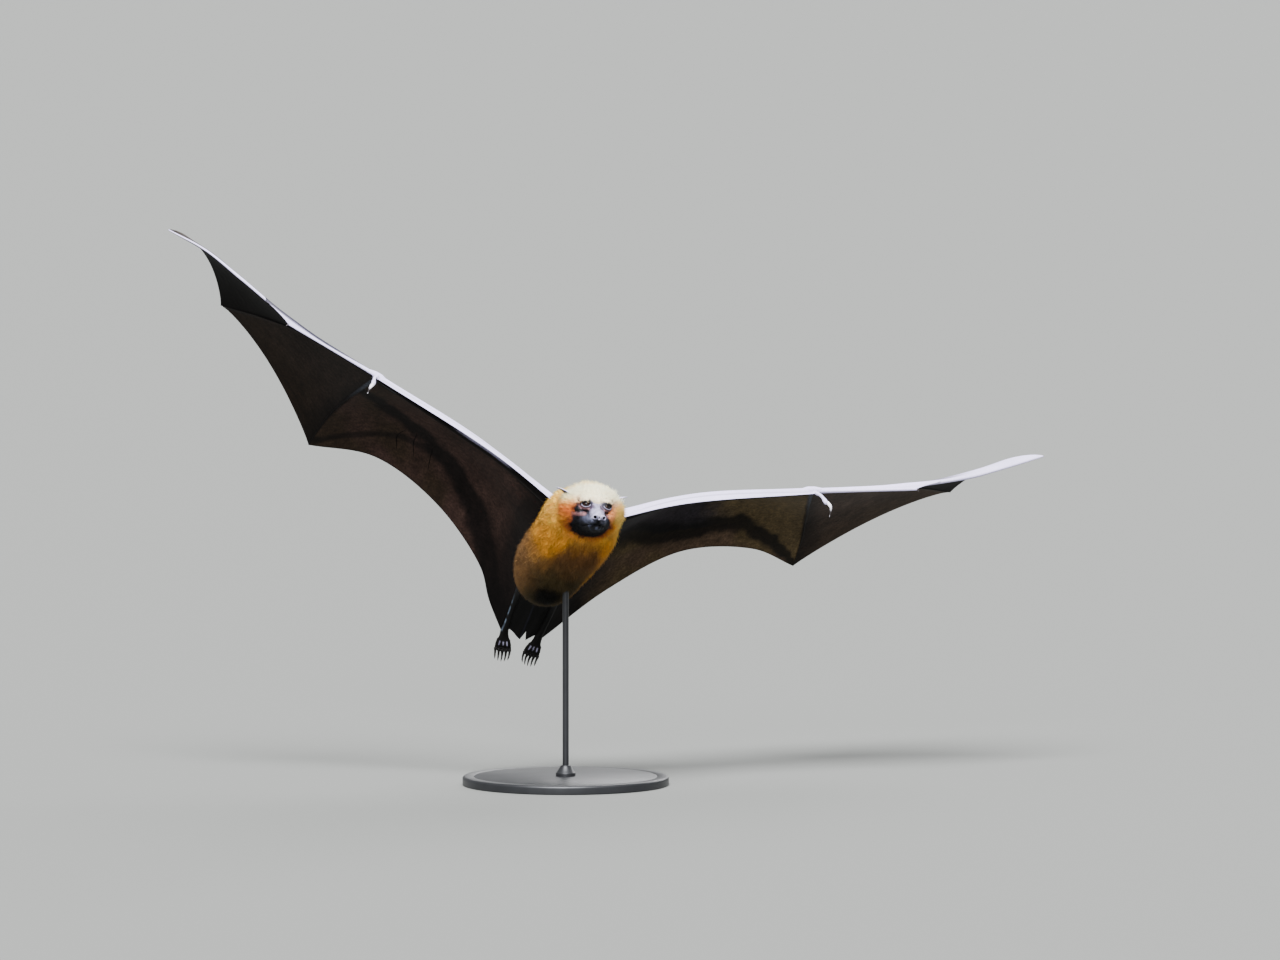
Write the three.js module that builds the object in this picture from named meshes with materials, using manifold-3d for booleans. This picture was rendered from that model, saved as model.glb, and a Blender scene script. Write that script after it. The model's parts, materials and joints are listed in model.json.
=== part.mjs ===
// A flying fox gliding on spread wings, life size, held on a plain display stand.
// Millimetres, +Z up; the origin is the middle of the underside of the stand's base.
//
// The bat is built in its own frame and then turned as a whole: its origin lies midway between
// the shoulder joints, +X points to the bat's left, -Y the way it flies and +Z out of its back.
import * as THREE from 'three';
import Module from 'manifold-3d';
import { mergeVertices } from 'three/addons/utils/BufferGeometryUtils.js';

const wasm = await Module();
wasm.setup();

// ---- Driving dimensions ----
const GAP = 0.3; // clearance between neighbouring solids
const ATTITUDE = { turn: 16, nose: -33, bank: 18 }; // degrees: heading, nose up, left wing down
const SHOULDER_HEIGHT = 300; // midpoint of the shoulder joints above the floor

const SHOULDER = [24, 0, 6]; // joint on the left side
const BONE = {
  upperArm: [112],
  forearm: [155],
  finger2: [118],
  finger3: [108, 80, 57, 56],
  finger4: [104, 66, 65],
  finger5: [110, 50, 46],
};
// Each bone leaves its joint at [sweep towards the tail, lift towards the back], in degrees.
const WING_POSE = {
  left: {
    upperArm: [[15, 36]],
    forearm: [[5, 23]],
    finger2: [[-14, 10]],
    finger3: [[0, 20], [4, 26.3], [19, 37], [23, 39]],
    finger4: [[27, 29], [33, 30], [41, 26]],
    finger5: [[82, 14], [82, 0], [86, -8]],
  },
  right: {
    upperArm: [[16, 37]],
    forearm: [[8, 25]],
    finger2: [[-14, 10]],
    finger3: [[-1, 21], [2, 30], [19, 36.5], [31, 31]],
    finger4: [[28, 32], [33, 25], [39, 22]],
    finger5: [[79, 10], [79, 0], [82, -8]],
  },
};
// Half thickness along each limb, from its root to its end.
const THICKNESS = {
  upperArm: [11, 9.5, 8, 7.8],
  forearm: [7.6, 7.8, 5.6, 4.4],
  finger2: [2.4, 1.7, 1.3, 1],
  finger3: [2.6, 2, 1.9, 1.5, 1.4, 1, 0.7],
  finger4: [2.4, 1.8, 1.7, 1.3, 1.2, 0.9, 0.6],
  finger5: [2.8, 2.2, 2, 1.5, 1.4, 1, 0.7],
};
// Points on the free edge of each arm membrane, from the ankle to the tip of the little finger.
const TRAILING_EDGE = {
  left: [[68, 185, 31], [137, 158, 86], [219, 182, 128]],
  right: [[-57.5, 212, -3.5], [-77, 185, 18], [-138, 158, 64], [-214, 182, 120]],
};
const MEMBRANE = 1; // thickness of the wing membranes
// Membranes between two fingers: the free edge's shape, and the columns and rows of the sheet.
const FINGER_MEMBRANES = [
  [2, 3, { reach: 0.52, hollow: 4, rise: 0 }, 2, 6],
  [3, 4, { reach: 1, hollow: 20, rise: 14 }, 4, 8],
  [4, 5, { reach: 1, hollow: 15, rise: 6 }, 5, 6],
];

// Trunk and head with their fur: [distance, half width, half height, rise and sway of the middle].
// The trunk's distances run towards the tail, the head's towards the nose.
const TRUNK = [
  [-15, 46, 39, -4, -2],
  [5, 49, 41, -7, -2],
  [30, 48, 42, -10, -4],
  [60, 46, 42, -12, -9],
  [90, 43, 40, -13, -12],
  [117, 38, 37, -13, -12],
  [139, 30, 28, -12, -10],
  [155, 19, 17, -10, -9],
  [163, 8, 7, -9, -9],
];
const HEAD = [
  [-28, 16, 14, -2, 1],
  [-22, 29, 25, -3, 1],
  [-10, 38.5, 32.5, -4, 2],
  [3, 41, 33, -5, 1.5],
  [11, 35, 29, -5, 1],
  [18, 24, 21, -4],
  [24, 17.5, 16, -5],
  [31, 13, 12.5, -7],
  [39, 11, 10.5, -8],
  [44, 9.5, 9, -8.5],
  [47, 6, 5.5, -8.5],
];
const HEAD_PLACE = { middle: [1, -48, -9], turn: 9, nod: 37, tilt: -12 };
const EYE = { place: [12, -21.5, 5], radius: 5.7 };
const EAR = { root: [17, 2, 8], tip: [42, 11, 14], halfWidths: [6, 6.5, 5, 2.6, 0.7] };

// Joints of each leg, and the way its toes point.
const LEGS = {
  left: { joints: [[4, 128, -10], [12, 184, -8], [9, 237, -21]], toes: [-0.1, 0.78, -0.61] },
  right: { joints: [[-30, 128, -10], [-31, 183, -10], [-30, 237, -24]], toes: [0.18, 0.76, -0.62] },
};
const LEG_THICKNESS = [8, 6.5, 4.6, 3.2, 3, 3.6];
const FOOT = { length: 14, ankleWidth: 5.5, width: 8.5, height: 3.8, toeLength: 12, clawLength: 10 };
const TOES = 5;
const THUMB = {
  reach: { left: [15.4, -23.4, -23.9], right: [-6.5, -26, -25] }, // from the wrist to the root of its claw
  claw: {
    left: [[0.8, 0, 1.2], [5.9, 0.4, -4], [7.6, 8.4, -11.4]],
    right: [[0, 0, 0], [-2.6, 0, -5.5], [-3.9, 4.1, -11.8]],
  },
  halfWidths: [3, 2.2, 1.9, 2.1],
  clawHalfWidths: [1.9, 1.6, 1, 0.4],
};

const STAND = { baseRadius: 115, baseHeight: 10, rodRadius: 3.5, collarRadius: 11, collarHeight: 12 };
const ROD_UNDER = [0, 66, -20]; // the point of the trunk that stands over the rod

const COLOURS = {
  fur: 0xc98a35,
  face: 0x4a4852,
  skin: 0x1d191a,
  membrane: 0x33261f,
  bone: 0x8f8a99,
  eye: 0x1a0f0a,
  claw: 0x26221f,
  metal: 0x3b3c3f,
};

// ---- Geometry helpers ----
const { degToRad } = THREE.MathUtils;
const vec = (p) => new THREE.Vector3(...p);
const mix = (a, b, t) => a.clone().lerp(b, t);

/** A turn about +Y, then +X, then +Z, in degrees, followed by a move. */
function placed([x, y, z], aboutX, aboutY, aboutZ) {
  const turn = new THREE.Euler(degToRad(aboutX), degToRad(aboutY), degToRad(aboutZ), 'ZXY');
  return new THREE.Matrix4().makeRotationFromEuler(turn).setPosition(x, y, z);
}

/** Value at t = 0..1 on a list of values that are spaced evenly. */
function along(values, t) {
  const place = t * (values.length - 1);
  const left = Math.min(Math.floor(place), values.length - 2);
  return THREE.MathUtils.lerp(values[left], values[left + 1], place - left);
}

/** Makes a closed mesh a solid, turned right side out. */
function toSolid(geometry) {
  geometry.deleteAttribute('normal');
  geometry.deleteAttribute('uv');
  const merged = mergeVertices(geometry, 1e-4);
  const points = merged.attributes.position.array;
  const corners = merged.index.array;
  const mesh = new wasm.Mesh({
    numProp: 3,
    vertProperties: Float32Array.from(points),
    triVerts: Uint32Array.from(corners),
  });
  const solid = new wasm.Manifold(mesh);
  if (solid.volume() > 0) return solid;
  mesh.triVerts = Uint32Array.from(corners).reverse();
  return new wasm.Manifold(mesh);
}

/** The named mesh of a solid's largest body. */
function toMesh(name, solid, colour, roughness = 0.7) {
  const [body] = solid.decompose().sort((a, b) => b.volume() - a.volume());
  const mesh = body.simplify(0.13).getMesh();
  const geometry = new THREE.BufferGeometry();
  geometry.setAttribute('position', new THREE.Float32BufferAttribute(mesh.vertProperties, 3));
  geometry.setIndex(Array.from(mesh.triVerts));
  geometry.computeVertexNormals();
  const material = new THREE.MeshStandardMaterial({ color: colour, roughness });
  const node = new THREE.Mesh(geometry, material);
  node.name = name;
  return node;
}

/** A closed surface through a row of rings, each with the same number of points. */
function skinOver(rings) {
  const sides = rings[0].length;
  const index = [];
  for (let row = 0; row < rings.length - 1; row++) {
    for (let i = 0; i < sides; i++) {
      const [a, b] = [row * sides + i, row * sides + ((i + 1) % sides)];
      index.push(a, b, b + sides, a, b + sides, a + sides);
    }
  }
  const last = (rings.length - 1) * sides;
  for (let i = 1; i < sides - 1; i++) index.push(0, i + 1, i, last, last + i, last + i + 1);
  const geometry = new THREE.BufferGeometry().setFromPoints(rings.flat());
  geometry.setIndex(index);
  return toSolid(geometry);
}

/** An oval ring of points round a centre. */
function oval(centre, across, over, halfWidth, halfHeight, sides) {
  return Array.from({ length: sides }, (_, i) => {
    const angle = (2 * Math.PI * i) / sides;
    return centre
      .clone()
      .addScaledVector(across, halfWidth * Math.cos(angle))
      .addScaledVector(over, halfHeight * Math.sin(angle));
  });
}

/** A furred body through oval sections along Y; direction is +1 for tailward distances, -1 for noseward. */
function lofted(sections, direction, grow = 0, steps = 12, sides = 16) {
  const sizes = new THREE.CatmullRomCurve3(sections.map(([d, w, h]) => vec([d, w, h])));
  const middles = new THREE.CatmullRomCurve3(sections.map(([d, , , rise, sway = 0]) => vec([sway, d, rise])));
  const rings = Array.from({ length: steps + 1 }, (_, i) => {
    const size = sizes.getPoint(i / steps);
    const middle = middles.getPoint(i / steps);
    const end = i === 0 ? -grow : i === steps ? grow : 0;
    middle.y = direction * (middle.y + end);
    return oval(middle, vec([1, 0, 0]), vec([0, 0, 1]), size.y + grow, size.z + grow, sides);
  });
  return skinOver(rings);
}

/** A tapering limb through the given points; flatness is its height over its width. */
function limb(points, widths, { grow = 0, flatness = 1, over = null, steps = 6, sides = 6 } = {}) {
  const curve = points.getPointAt ? points : new THREE.CatmullRomCurve3(points, false, 'centripetal');
  const frames = curve.computeFrenetFrames(steps);
  const rings = frames.tangents.map((tangent, i) => {
    const t = i / steps;
    const width = along(widths, t);
    const end = i === 0 ? -grow : i === steps ? grow : 0;
    const centre = curve.getPointAt(t).addScaledVector(tangent, end);
    const height = (over ?? frames.normals[i]).clone();
    height.addScaledVector(tangent, -height.dot(tangent)).normalize();
    const across = new THREE.Vector3().crossVectors(tangent, height);
    return oval(centre, across, height, width + grow, width * flatness + grow, sides);
  });
  return skinOver(rings);
}

/** A membrane of even thickness over a surface given at u and v = 0..1. */
function membrane(surface, columns, rows, thickness = MEMBRANE) {
  const step = 1e-3;
  const points = [];
  for (const side of [1, -1]) {
    for (let j = 0; j <= rows; j++) {
      for (let i = 0; i <= columns; i++) {
        const [u, v] = [i / columns, j / rows];
        const alongU = surface(Math.min(u + step, 1), v).sub(surface(Math.max(u - step, 0), v));
        const alongV = surface(u, Math.min(v + step, 1)).sub(surface(u, Math.max(v - step, 0)));
        const normal = alongU.cross(alongV).normalize();
        points.push(surface(u, v).addScaledVector(normal, (side * thickness) / 2));
      }
    }
  }
  const index = [];
  const width = columns + 1;
  const bottom = width * (rows + 1);
  for (let j = 0; j < rows; j++) {
    for (let i = 0; i < columns; i++) {
      const a = j * width + i;
      const b = a + bottom;
      index.push(a, a + 1, a + 1 + width, a, a + 1 + width, a + width);
      index.push(b, b + 1 + width, b + 1, b, b + width, b + 1 + width);
    }
  }
  const wall = (a, b) => index.push(a, bottom + a, bottom + b, a, bottom + b, b);
  for (let i = 0; i < columns; i++) {
    wall(i, i + 1);
    wall(rows * width + i + 1, rows * width + i);
  }
  for (let j = 0; j < rows; j++) {
    wall((j + 1) * width, j * width);
    wall(j * width + columns, (j + 1) * width + columns);
  }
  const geometry = new THREE.BufferGeometry().setFromPoints(points);
  geometry.setIndex(index);
  return toSolid(geometry);
}

const cutBy = (solid, tools) => tools.reduce((rest, tool) => rest.subtract(tool), solid);

// ---- Skeleton ----
/** Joints of one limb, from its root outwards. */
function joints(root, lengths, angles, side) {
  const points = [root];
  lengths.forEach((length, i) => {
    const [sweep, lift] = angles[i].map(degToRad);
    const step = vec([side * Math.cos(lift) * Math.cos(sweep), Math.cos(lift) * Math.sin(sweep), Math.sin(lift)]);
    points.push(points[i].clone().addScaledVector(step, length));
  });
  return points;
}

function wingSkeleton(name) {
  const side = name === 'left' ? 1 : -1;
  const pose = WING_POSE[name];
  const shoulder = vec(SHOULDER).multiply(vec([side, 1, 1]));
  const upperArm = joints(shoulder, BONE.upperArm, pose.upperArm, side);
  const forearm = joints(upperArm[1], BONE.forearm, pose.forearm, side);
  const wrist = forearm[1];
  const fingers = {};
  for (const finger of ['finger2', 'finger3', 'finger4', 'finger5']) {
    fingers[finger] = joints(wrist, BONE[finger], pose[finger], side);
  }
  return { side, shoulder, upperArm, forearm, wrist, ...fingers };
}

// ---- Head ----
const headMatrix = placed(HEAD_PLACE.middle, HEAD_PLACE.nod, HEAD_PLACE.tilt, HEAD_PLACE.turn);
const headSolid = (grow = 0) => lofted(HEAD, -1, grow);

function eyeSolid(side, grow = 0) {
  const [x, y, z] = EYE.place;
  return toSolid(new THREE.SphereGeometry(EYE.radius + grow, 9, 7).translate(side * x, y, z));
}

function earSolid(side, grow = 0) {
  const [root, tip] = [EAR.root, EAR.tip].map((p) => vec(p).multiply(vec([side, 1, 1])));
  const curl = mix(root, tip, 0.5).add(vec([side * -1, -1.5, 2.5]));
  const shape = { grow, flatness: 0.25, over: vec([0, 0.5, 1]), steps: 6, sides: 8 };
  return limb([root, curl, tip], EAR.halfWidths, shape);
}

function buildHead() {
  const group = new THREE.Group();
  group.applyMatrix4(headMatrix);
  const head = cutBy(headSolid(), [eyeSolid(1, GAP), eyeSolid(-1, GAP)]);
  group.add(toMesh('head', head, COLOURS.fur, 0.9));
  for (const [name, side] of [['left', 1], ['right', -1]]) {
    group.add(toMesh(`eye_${name}`, eyeSolid(side), COLOURS.eye, 0.1));
    group.add(toMesh(`ear_${name}`, earSolid(side).subtract(headSolid(GAP)), COLOURS.skin, 0.6));
  }
  return group;
}

// ---- Trunk and neck ----
const trunkSolid = (grow = 0) => lofted(TRUNK, 1, grow);
const placedHead = (grow = 0) => headSolid(grow).transform(headMatrix.elements);

function neckSolid(grow = 0) {
  const [front, width, height, rise, sway] = TRUNK[0];
  const root = vec([sway, front - GAP, rise]);
  const end = vec(HEAD_PLACE.middle);
  const steps = 4;
  const rings = Array.from({ length: steps + 1 }, (_, i) => {
    const t = i / steps;
    const [halfWidth, halfHeight] = [width - 5 * t + grow, height - 6 * t + grow];
    return oval(mix(root, end, t), vec([1, 0, 0]), vec([0, 0, 1]), halfWidth, halfHeight, 16);
  });
  return skinOver(rings);
}

// ---- Wings ----
/** The arm and fingers of a wing, each cut clear of the one before it. */
function wingBones(bones) {
  const solids = {};
  const grown = [];
  for (const name of ['upperArm', 'forearm', 'finger3', 'finger5', 'finger4', 'finger2']) {
    const points = bones[name];
    const steps = points.length > 2 ? 10 : 4;
    solids[name] = cutBy(limb(points, THICKNESS[name], { steps }), grown);
    grown.push(limb(points, THICKNESS[name], { steps, grow: GAP }));
  }
  return { solids, grown };
}

const smooth = (points) => new THREE.CatmullRomCurve3(points, false, 'centripetal');

/** The membrane between two fingers, its free edge hollowed towards the wrist and raised. */
function betweenFingers(inner, outer, { reach, hollow, rise }) {
  const [a, b] = [smooth(inner), smooth(outer)];
  const [tipA, tipB] = [a.getPointAt(1), b.getPointAt(reach)];
  const chord = tipB.clone().sub(tipA).normalize();
  const inward = inner[0].clone().sub(mix(tipA, tipB, 0.5));
  inward.addScaledVector(chord, -inward.dot(chord)).setLength(hollow);
  const pull = inward.add(vec([0, 0, rise]));
  return (u, v) => {
    const t = THREE.MathUtils.lerp(0.05, 1, v);
    const slack = Math.sin(Math.PI * u ** 0.85) ** 0.8 * t ** 3;
    return mix(a.getPointAt(t), b.getPointAt(t * reach), u).addScaledVector(pull, slack);
  };
}

/** The arm membrane: a patch between the arm, the little finger, the flank with the leg, and a free edge. */
function armMembrane(bones, leg, edgePoints) {
  const { side, shoulder, wrist, finger5 } = bones;
  const arm = smooth([shoulder, bones.upperArm[1], wrist]);
  const finger = smooth(finger5);
  const [, knee, ankle] = leg.joints.map(vec);
  const waist = [[side * 30 - 8, 60, 4], [side * 20 - 12, 120, -2]].map(vec);
  const flank = smooth([shoulder, ...waist, knee, ankle]);
  const tip = finger5[3];
  const edge = smooth([ankle, ...edgePoints.map(vec), tip]);
  const belly = vec([0, 0, 14]);
  return (u, v) => {
    const arms = mix(arm.getPointAt(u), edge.getPointAt(u), v);
    const sides = mix(flank.getPointAt(v), finger.getPointAt(v), u);
    const corners = mix(mix(shoulder, wrist, u), mix(ankle, tip, u), v);
    const fullness = Math.sin(Math.PI * u) * Math.sin(Math.PI * v);
    return arms.add(sides).sub(corners).addScaledVector(belly, fullness);
  };
}

/** The membrane ahead of the arm, which droops to a taut edge from the neck to the thumb. */
function frontMembrane(bones, thumb) {
  const { side, shoulder, upperArm, wrist } = bones;
  const arm = smooth([shoulder, upperArm[1], wrist]);
  const root = vec([side * 26, -22, -6]);
  const middle = upperArm[1].clone().add(vec([0, -20, -16]));
  const edge = smooth([root, middle, thumb.getPointAt(0.3)]);
  return (u, v) => {
    const drape = Math.sin(Math.PI * v) * Math.sin(Math.PI * u) * 3;
    return mix(arm.getPointAt(u), edge.getPointAt(u), v).add(vec([0, -drape, drape]));
  };
}

/** The thumb's line: forward, down and outward from the wrist, with its claw hooked back under it. */
function thumbLines({ side, wrist }, reach, hook) {
  const end = wrist.clone().add(vec(reach));
  const thumb = smooth([wrist, mix(wrist, end, 0.5).add(vec([side * 1.5, -1, 2])), end]);
  const claw = smooth(hook.map((p) => vec(p).add(end)));
  return { thumb, claw };
}

function buildWing(name, leg, bodySolids) {
  const bones = wingSkeleton(name);
  const { solids, grown } = wingBones(bones);
  const { thumb, claw } = thumbLines(bones, THUMB.reach[name], THUMB.claw[name]);
  const thumbTools = [limb(thumb, THUMB.halfWidths, { grow: GAP })];
  const bodyTools = bodySolids(GAP);
  const group = new THREE.Group();
  const add = (part, solid, colour, roughness = 0.55) => {
    group.add(toMesh(`${part}_${name}`, solid, colour, roughness));
  };

  add('upper_arm', cutBy(solids.upperArm, bodyTools), COLOURS.bone);
  add('forearm', solids.forearm, COLOURS.bone);
  add('thumb', cutBy(limb(thumb, THUMB.halfWidths), grown), COLOURS.bone);
  const clawSolid = limb(claw, THUMB.clawHalfWidths, { steps: 5, sides: 6 });
  add('thumb_claw', cutBy(clawSolid, thumbTools), COLOURS.claw, 0.3);
  for (const n of [2, 3, 4, 5]) add(`finger_${n}`, solids[`finger${n}`], COLOURS.bone);

  const tools = [...grown, ...thumbTools, ...bodyTools];
  const sheet = (part, surface, columns, rows) => {
    add(part, cutBy(membrane(surface, columns, rows), tools), COLOURS.membrane, 0.6);
  };
  sheet('front_membrane', frontMembrane(bones, thumb), 8, 2);
  sheet('arm_membrane', armMembrane(bones, leg, TRAILING_EDGE[name]), 10, 6);
  for (const [inner, outer, free, columns, rows] of FINGER_MEMBRANES) {
    const surface = betweenFingers(bones[`finger${inner}`], bones[`finger${outer}`], free);
    sheet(`membrane_${inner}_${outer}`, surface, columns, rows);
  }
  return group;
}

// ---- Legs and feet ----
const legSolid = (leg, grow = 0) => limb(leg.joints.map(vec), LEG_THICKNESS, { grow, steps: 9 });

/** The foot, its toes and their claws, joined; the soles face forward and down. */
function footSolid(leg, grow = 0) {
  const ahead = vec(leg.toes).normalize();
  const across = new THREE.Vector3().crossVectors(vec([0, 0, 1]), ahead).normalize();
  const sole = new THREE.Vector3().crossVectors(ahead, across).negate();
  const heel = vec(leg.joints[2]);
  const at = (forward, sideways, down = 0) =>
    heel.clone().addScaledVector(ahead, forward).addScaledVector(across, sideways).addScaledVector(sole, down);
  const profile = [[-3, 0.7], [3, 0.8], [8, 0.95], [FOOT.length, 0.85]];
  const rings = profile.map(([d, size], i) => {
    const width = THREE.MathUtils.lerp(FOOT.ankleWidth, FOOT.width, i / (profile.length - 1));
    return oval(at(d, 0), across, sole, width + grow, FOOT.height * size + grow, 8);
  });
  let foot = skinOver(rings);
  for (let i = 0; i < TOES; i++) {
    const place = (2 * i) / (TOES - 1) - 1;
    const reach = FOOT.length + FOOT.toeLength - 2.5 * place * place;
    const root = at(FOOT.length - 4, place * 6.6);
    const knuckle = at(FOOT.length + 5, place * 8, -0.8);
    const end = at(reach, place * 8.2, 1);
    const bend = at(reach + 5, place * 7.8, 2.2);
    const point = at(reach + 8.5, place * 7.2, FOOT.clawLength * 0.6);
    foot = foot.add(limb([root, knuckle, end], [1.9, 2, 1.7], { grow, steps: 2, sides: 5 }));
    foot = foot.add(limb([end, bend, point], [1.4, 1, 0.35], { grow, steps: 2, sides: 4 }));
  }
  return foot;
}

/** The narrow tail membrane between the legs, notched between two short spurs. */
function tailMembrane() {
  const [right, left] = [LEGS.right, LEGS.left].map((leg) => smooth(leg.joints.map(vec)));
  const reach = [0.93, 0.93, 0.94, 0.97, 1.0, 1.03, 1.07, 0.97, 1.07, 1.01, 0.98, 0.96, 0.95];
  const beyondAnkle = vec([0, 100, -20]);
  const pointAt = (line, t) => {
    const past = Math.max(0, t - 1);
    return line.getPointAt(Math.min(t, 1)).addScaledVector(beyondAnkle, past);
  };
  return (u, v) => {
    const t = THREE.MathUtils.lerp(0.1, along(reach, u), v);
    const sag = 8 * u * (1 - u) * v;
    return mix(pointAt(right, t), pointAt(left, t), u).add(vec([0, 0, -sag]));
  };
}

function buildLegs() {
  const group = new THREE.Group();
  const tools = [trunkSolid(GAP)];
  for (const name of ['left', 'right']) {
    const leg = LEGS[name];
    const shank = cutBy(legSolid(leg), [...tools, footSolid(leg, GAP)]);
    group.add(toMesh(`leg_${name}`, shank, COLOURS.skin));
    group.add(toMesh(`foot_${name}`, footSolid(leg), COLOURS.skin));
    tools.push(legSolid(leg, GAP), footSolid(leg, GAP));
  }
  const sheet = membrane(tailMembrane(), 12, 1);
  group.add(toMesh('tail_membrane', cutBy(sheet, tools), COLOURS.membrane, 0.6));
  return group;
}

// ---- Stand ----
const batMatrix = placed([0, 0, 0], ATTITUDE.nose, ATTITUDE.bank, ATTITUDE.turn);
const rodPoint = vec(ROD_UNDER).applyMatrix4(batMatrix);
batMatrix.setPosition(-rodPoint.x, -rodPoint.y, SHOULDER_HEIGHT);

function buildStand() {
  const { baseRadius, baseHeight, rodRadius, collarRadius, collarHeight } = STAND;
  const bevel = 1.5;
  const base = [
    [0, 0],
    [baseRadius - bevel, 0],
    [baseRadius, bevel],
    [baseRadius, baseHeight - bevel],
    [baseRadius - bevel, baseHeight],
    [0, baseHeight],
  ];
  const collar = [
    [0, 0],
    [collarRadius, 0],
    [collarRadius, collarHeight / 4],
    [rodRadius + bevel, collarHeight],
    [0, collarHeight],
  ];
  const turned = (profile, lift, parts) => {
    const lathe = new THREE.LatheGeometry(profile.map(([r, z]) => new THREE.Vector2(r, z)), parts);
    return toSolid(lathe.rotateX(Math.PI / 2).translate(0, 0, lift));
  };
  const rodFoot = baseHeight + GAP;
  const rodTop = SHOULDER_HEIGHT + rodPoint.z;
  const rodLength = rodTop - rodFoot;
  const rodLine = [[0, 0], [rodRadius, 0], [rodRadius, rodLength], [0, rodLength]];
  const rod = turned(rodLine, rodFoot, 16).subtract(trunkSolid(GAP).transform(batMatrix.elements));
  const group = new THREE.Group();
  group.add(toMesh('stand_base', turned(base, 0, 40), COLOURS.metal, 0.4));
  group.add(toMesh('stand_rod', rod.add(turned(collar, rodFoot, 24)), COLOURS.metal, 0.4));
  return group;
}

// ---- The whole model ----
const bat = new THREE.Group();
bat.applyMatrix4(batMatrix);
bat.add(buildHead());
bat.add(toMesh('trunk', trunkSolid().subtract(placedHead(GAP)), COLOURS.fur, 0.9));
const placedEars = [1, -1].map((side) => earSolid(side, GAP).transform(headMatrix.elements));
bat.add(toMesh('neck', cutBy(neckSolid(), [placedHead(GAP), ...placedEars]), COLOURS.fur, 0.9));
for (const name of ['left', 'right']) {
  const bodySolids = (grow) => [
    trunkSolid(grow),
    neckSolid(grow),
    placedHead(grow),
    ...Object.values(LEGS).flatMap((leg) => [legSolid(leg, grow), footSolid(leg, grow)]),
  ];
  bat.add(buildWing(name, LEGS[name], bodySolids));
}
bat.add(buildLegs());

const group = new THREE.Group();
group.add(bat, buildStand());

export default group;
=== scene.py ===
"""A flying fox gliding on spread wings, life size, on a plain display stand.

The bat is shaped in its own frame, in millimetres: the origin lies midway between the shoulder
joints, +X points to the bat's left, -Y the way it flies and +Z out of its back. The head has a
frame of its own inside that one, with the nose towards -Y.
"""

import json
import math

import bpy
import numpy as np
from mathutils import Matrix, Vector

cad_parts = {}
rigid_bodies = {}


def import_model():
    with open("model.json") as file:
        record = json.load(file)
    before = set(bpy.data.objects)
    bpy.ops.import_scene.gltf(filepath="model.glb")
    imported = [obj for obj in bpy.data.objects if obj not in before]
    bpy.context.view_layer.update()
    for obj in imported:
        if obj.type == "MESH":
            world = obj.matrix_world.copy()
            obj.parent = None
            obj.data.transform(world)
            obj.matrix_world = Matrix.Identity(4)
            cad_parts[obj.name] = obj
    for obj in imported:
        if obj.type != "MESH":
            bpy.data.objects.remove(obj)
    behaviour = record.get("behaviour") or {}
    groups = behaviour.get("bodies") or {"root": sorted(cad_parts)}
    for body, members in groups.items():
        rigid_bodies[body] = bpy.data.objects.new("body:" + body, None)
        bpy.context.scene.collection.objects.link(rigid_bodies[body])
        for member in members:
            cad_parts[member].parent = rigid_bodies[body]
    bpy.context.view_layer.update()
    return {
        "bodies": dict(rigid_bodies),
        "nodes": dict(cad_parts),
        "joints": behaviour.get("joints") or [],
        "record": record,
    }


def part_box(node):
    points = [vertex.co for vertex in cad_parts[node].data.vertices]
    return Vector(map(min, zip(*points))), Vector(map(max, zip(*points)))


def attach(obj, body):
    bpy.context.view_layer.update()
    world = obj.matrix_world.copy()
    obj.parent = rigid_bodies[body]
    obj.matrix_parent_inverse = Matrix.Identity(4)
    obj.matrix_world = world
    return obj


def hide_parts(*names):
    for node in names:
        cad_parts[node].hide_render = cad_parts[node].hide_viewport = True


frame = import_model()


# ---- Pose ----
def turn(axis, degrees):
    c, s = math.cos(math.radians(degrees)), math.sin(math.radians(degrees))
    i, j = {"x": (1, 2), "y": (2, 0), "z": (0, 1)}[axis]
    m = np.eye(3)
    m[i, i] = m[j, j] = c
    m[i, j], m[j, i] = -s, s
    return m


MM = 0.001
BODY_TURN = turn("z", 16) @ turn("x", -33) @ turn("y", 18)
ROD_UNDER = np.array([0, 66, -20])
SHOULDER_HEIGHT = 300
BODY_AT = (BODY_TURN @ ROD_UNDER) * [-1, -1, 0] + [0, 0, SHOULDER_HEIGHT]
HEAD_TURN = turn("z", 9) @ turn("x", 37) @ turn("y", -12)
HEAD_AT = np.array([1, -48, -9])


def to_world(points):
    """From the bat's frame in millimetres to the model's in metres."""
    return (np.asarray(points) @ BODY_TURN.T + BODY_AT) * MM


def from_head(points):
    return np.asarray(points) @ HEAD_TURN.T + HEAD_AT


def to_head(points):
    return (np.asarray(points) - HEAD_AT) @ HEAD_TURN


# ---- Sizes, in millimetres ----
SHOULDER = np.array([24, 0, 6])
BONE = {
    "upper_arm": [112],
    "forearm": [155],
    "finger_2": [118],
    "finger_3": [108, 80, 57, 59],
    "finger_4": [104, 66, 65],
    "finger_5": [110, 50, 46],
}
# Each bone leaves its joint at (sweep towards the tail, lift towards the back), in degrees.
WING_POSE = {
    "left": {
        "upper_arm": [(15, 36)],
        "forearm": [(5, 23)],
        "finger_2": [(-14, 10)],
        "finger_3": [(0, 20), (4, 26.3), (19, 37), (23, 39)],
        "finger_4": [(27, 29), (33, 30), (41, 26)],
        "finger_5": [(82, 14), (82, 0), (86, -8)],
    },
    "right": {
        "upper_arm": [(16, 37)],
        "forearm": [(8, 25)],
        "finger_2": [(-14, 10)],
        "finger_3": [(-1, 21), (2, 30), (19, 36.5), (31, 31)],
        "finger_4": [(28, 32), (33, 25), (39, 22)],
        "finger_5": [(79, 10), (79, 0), (82, -8)],
    },
}
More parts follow.
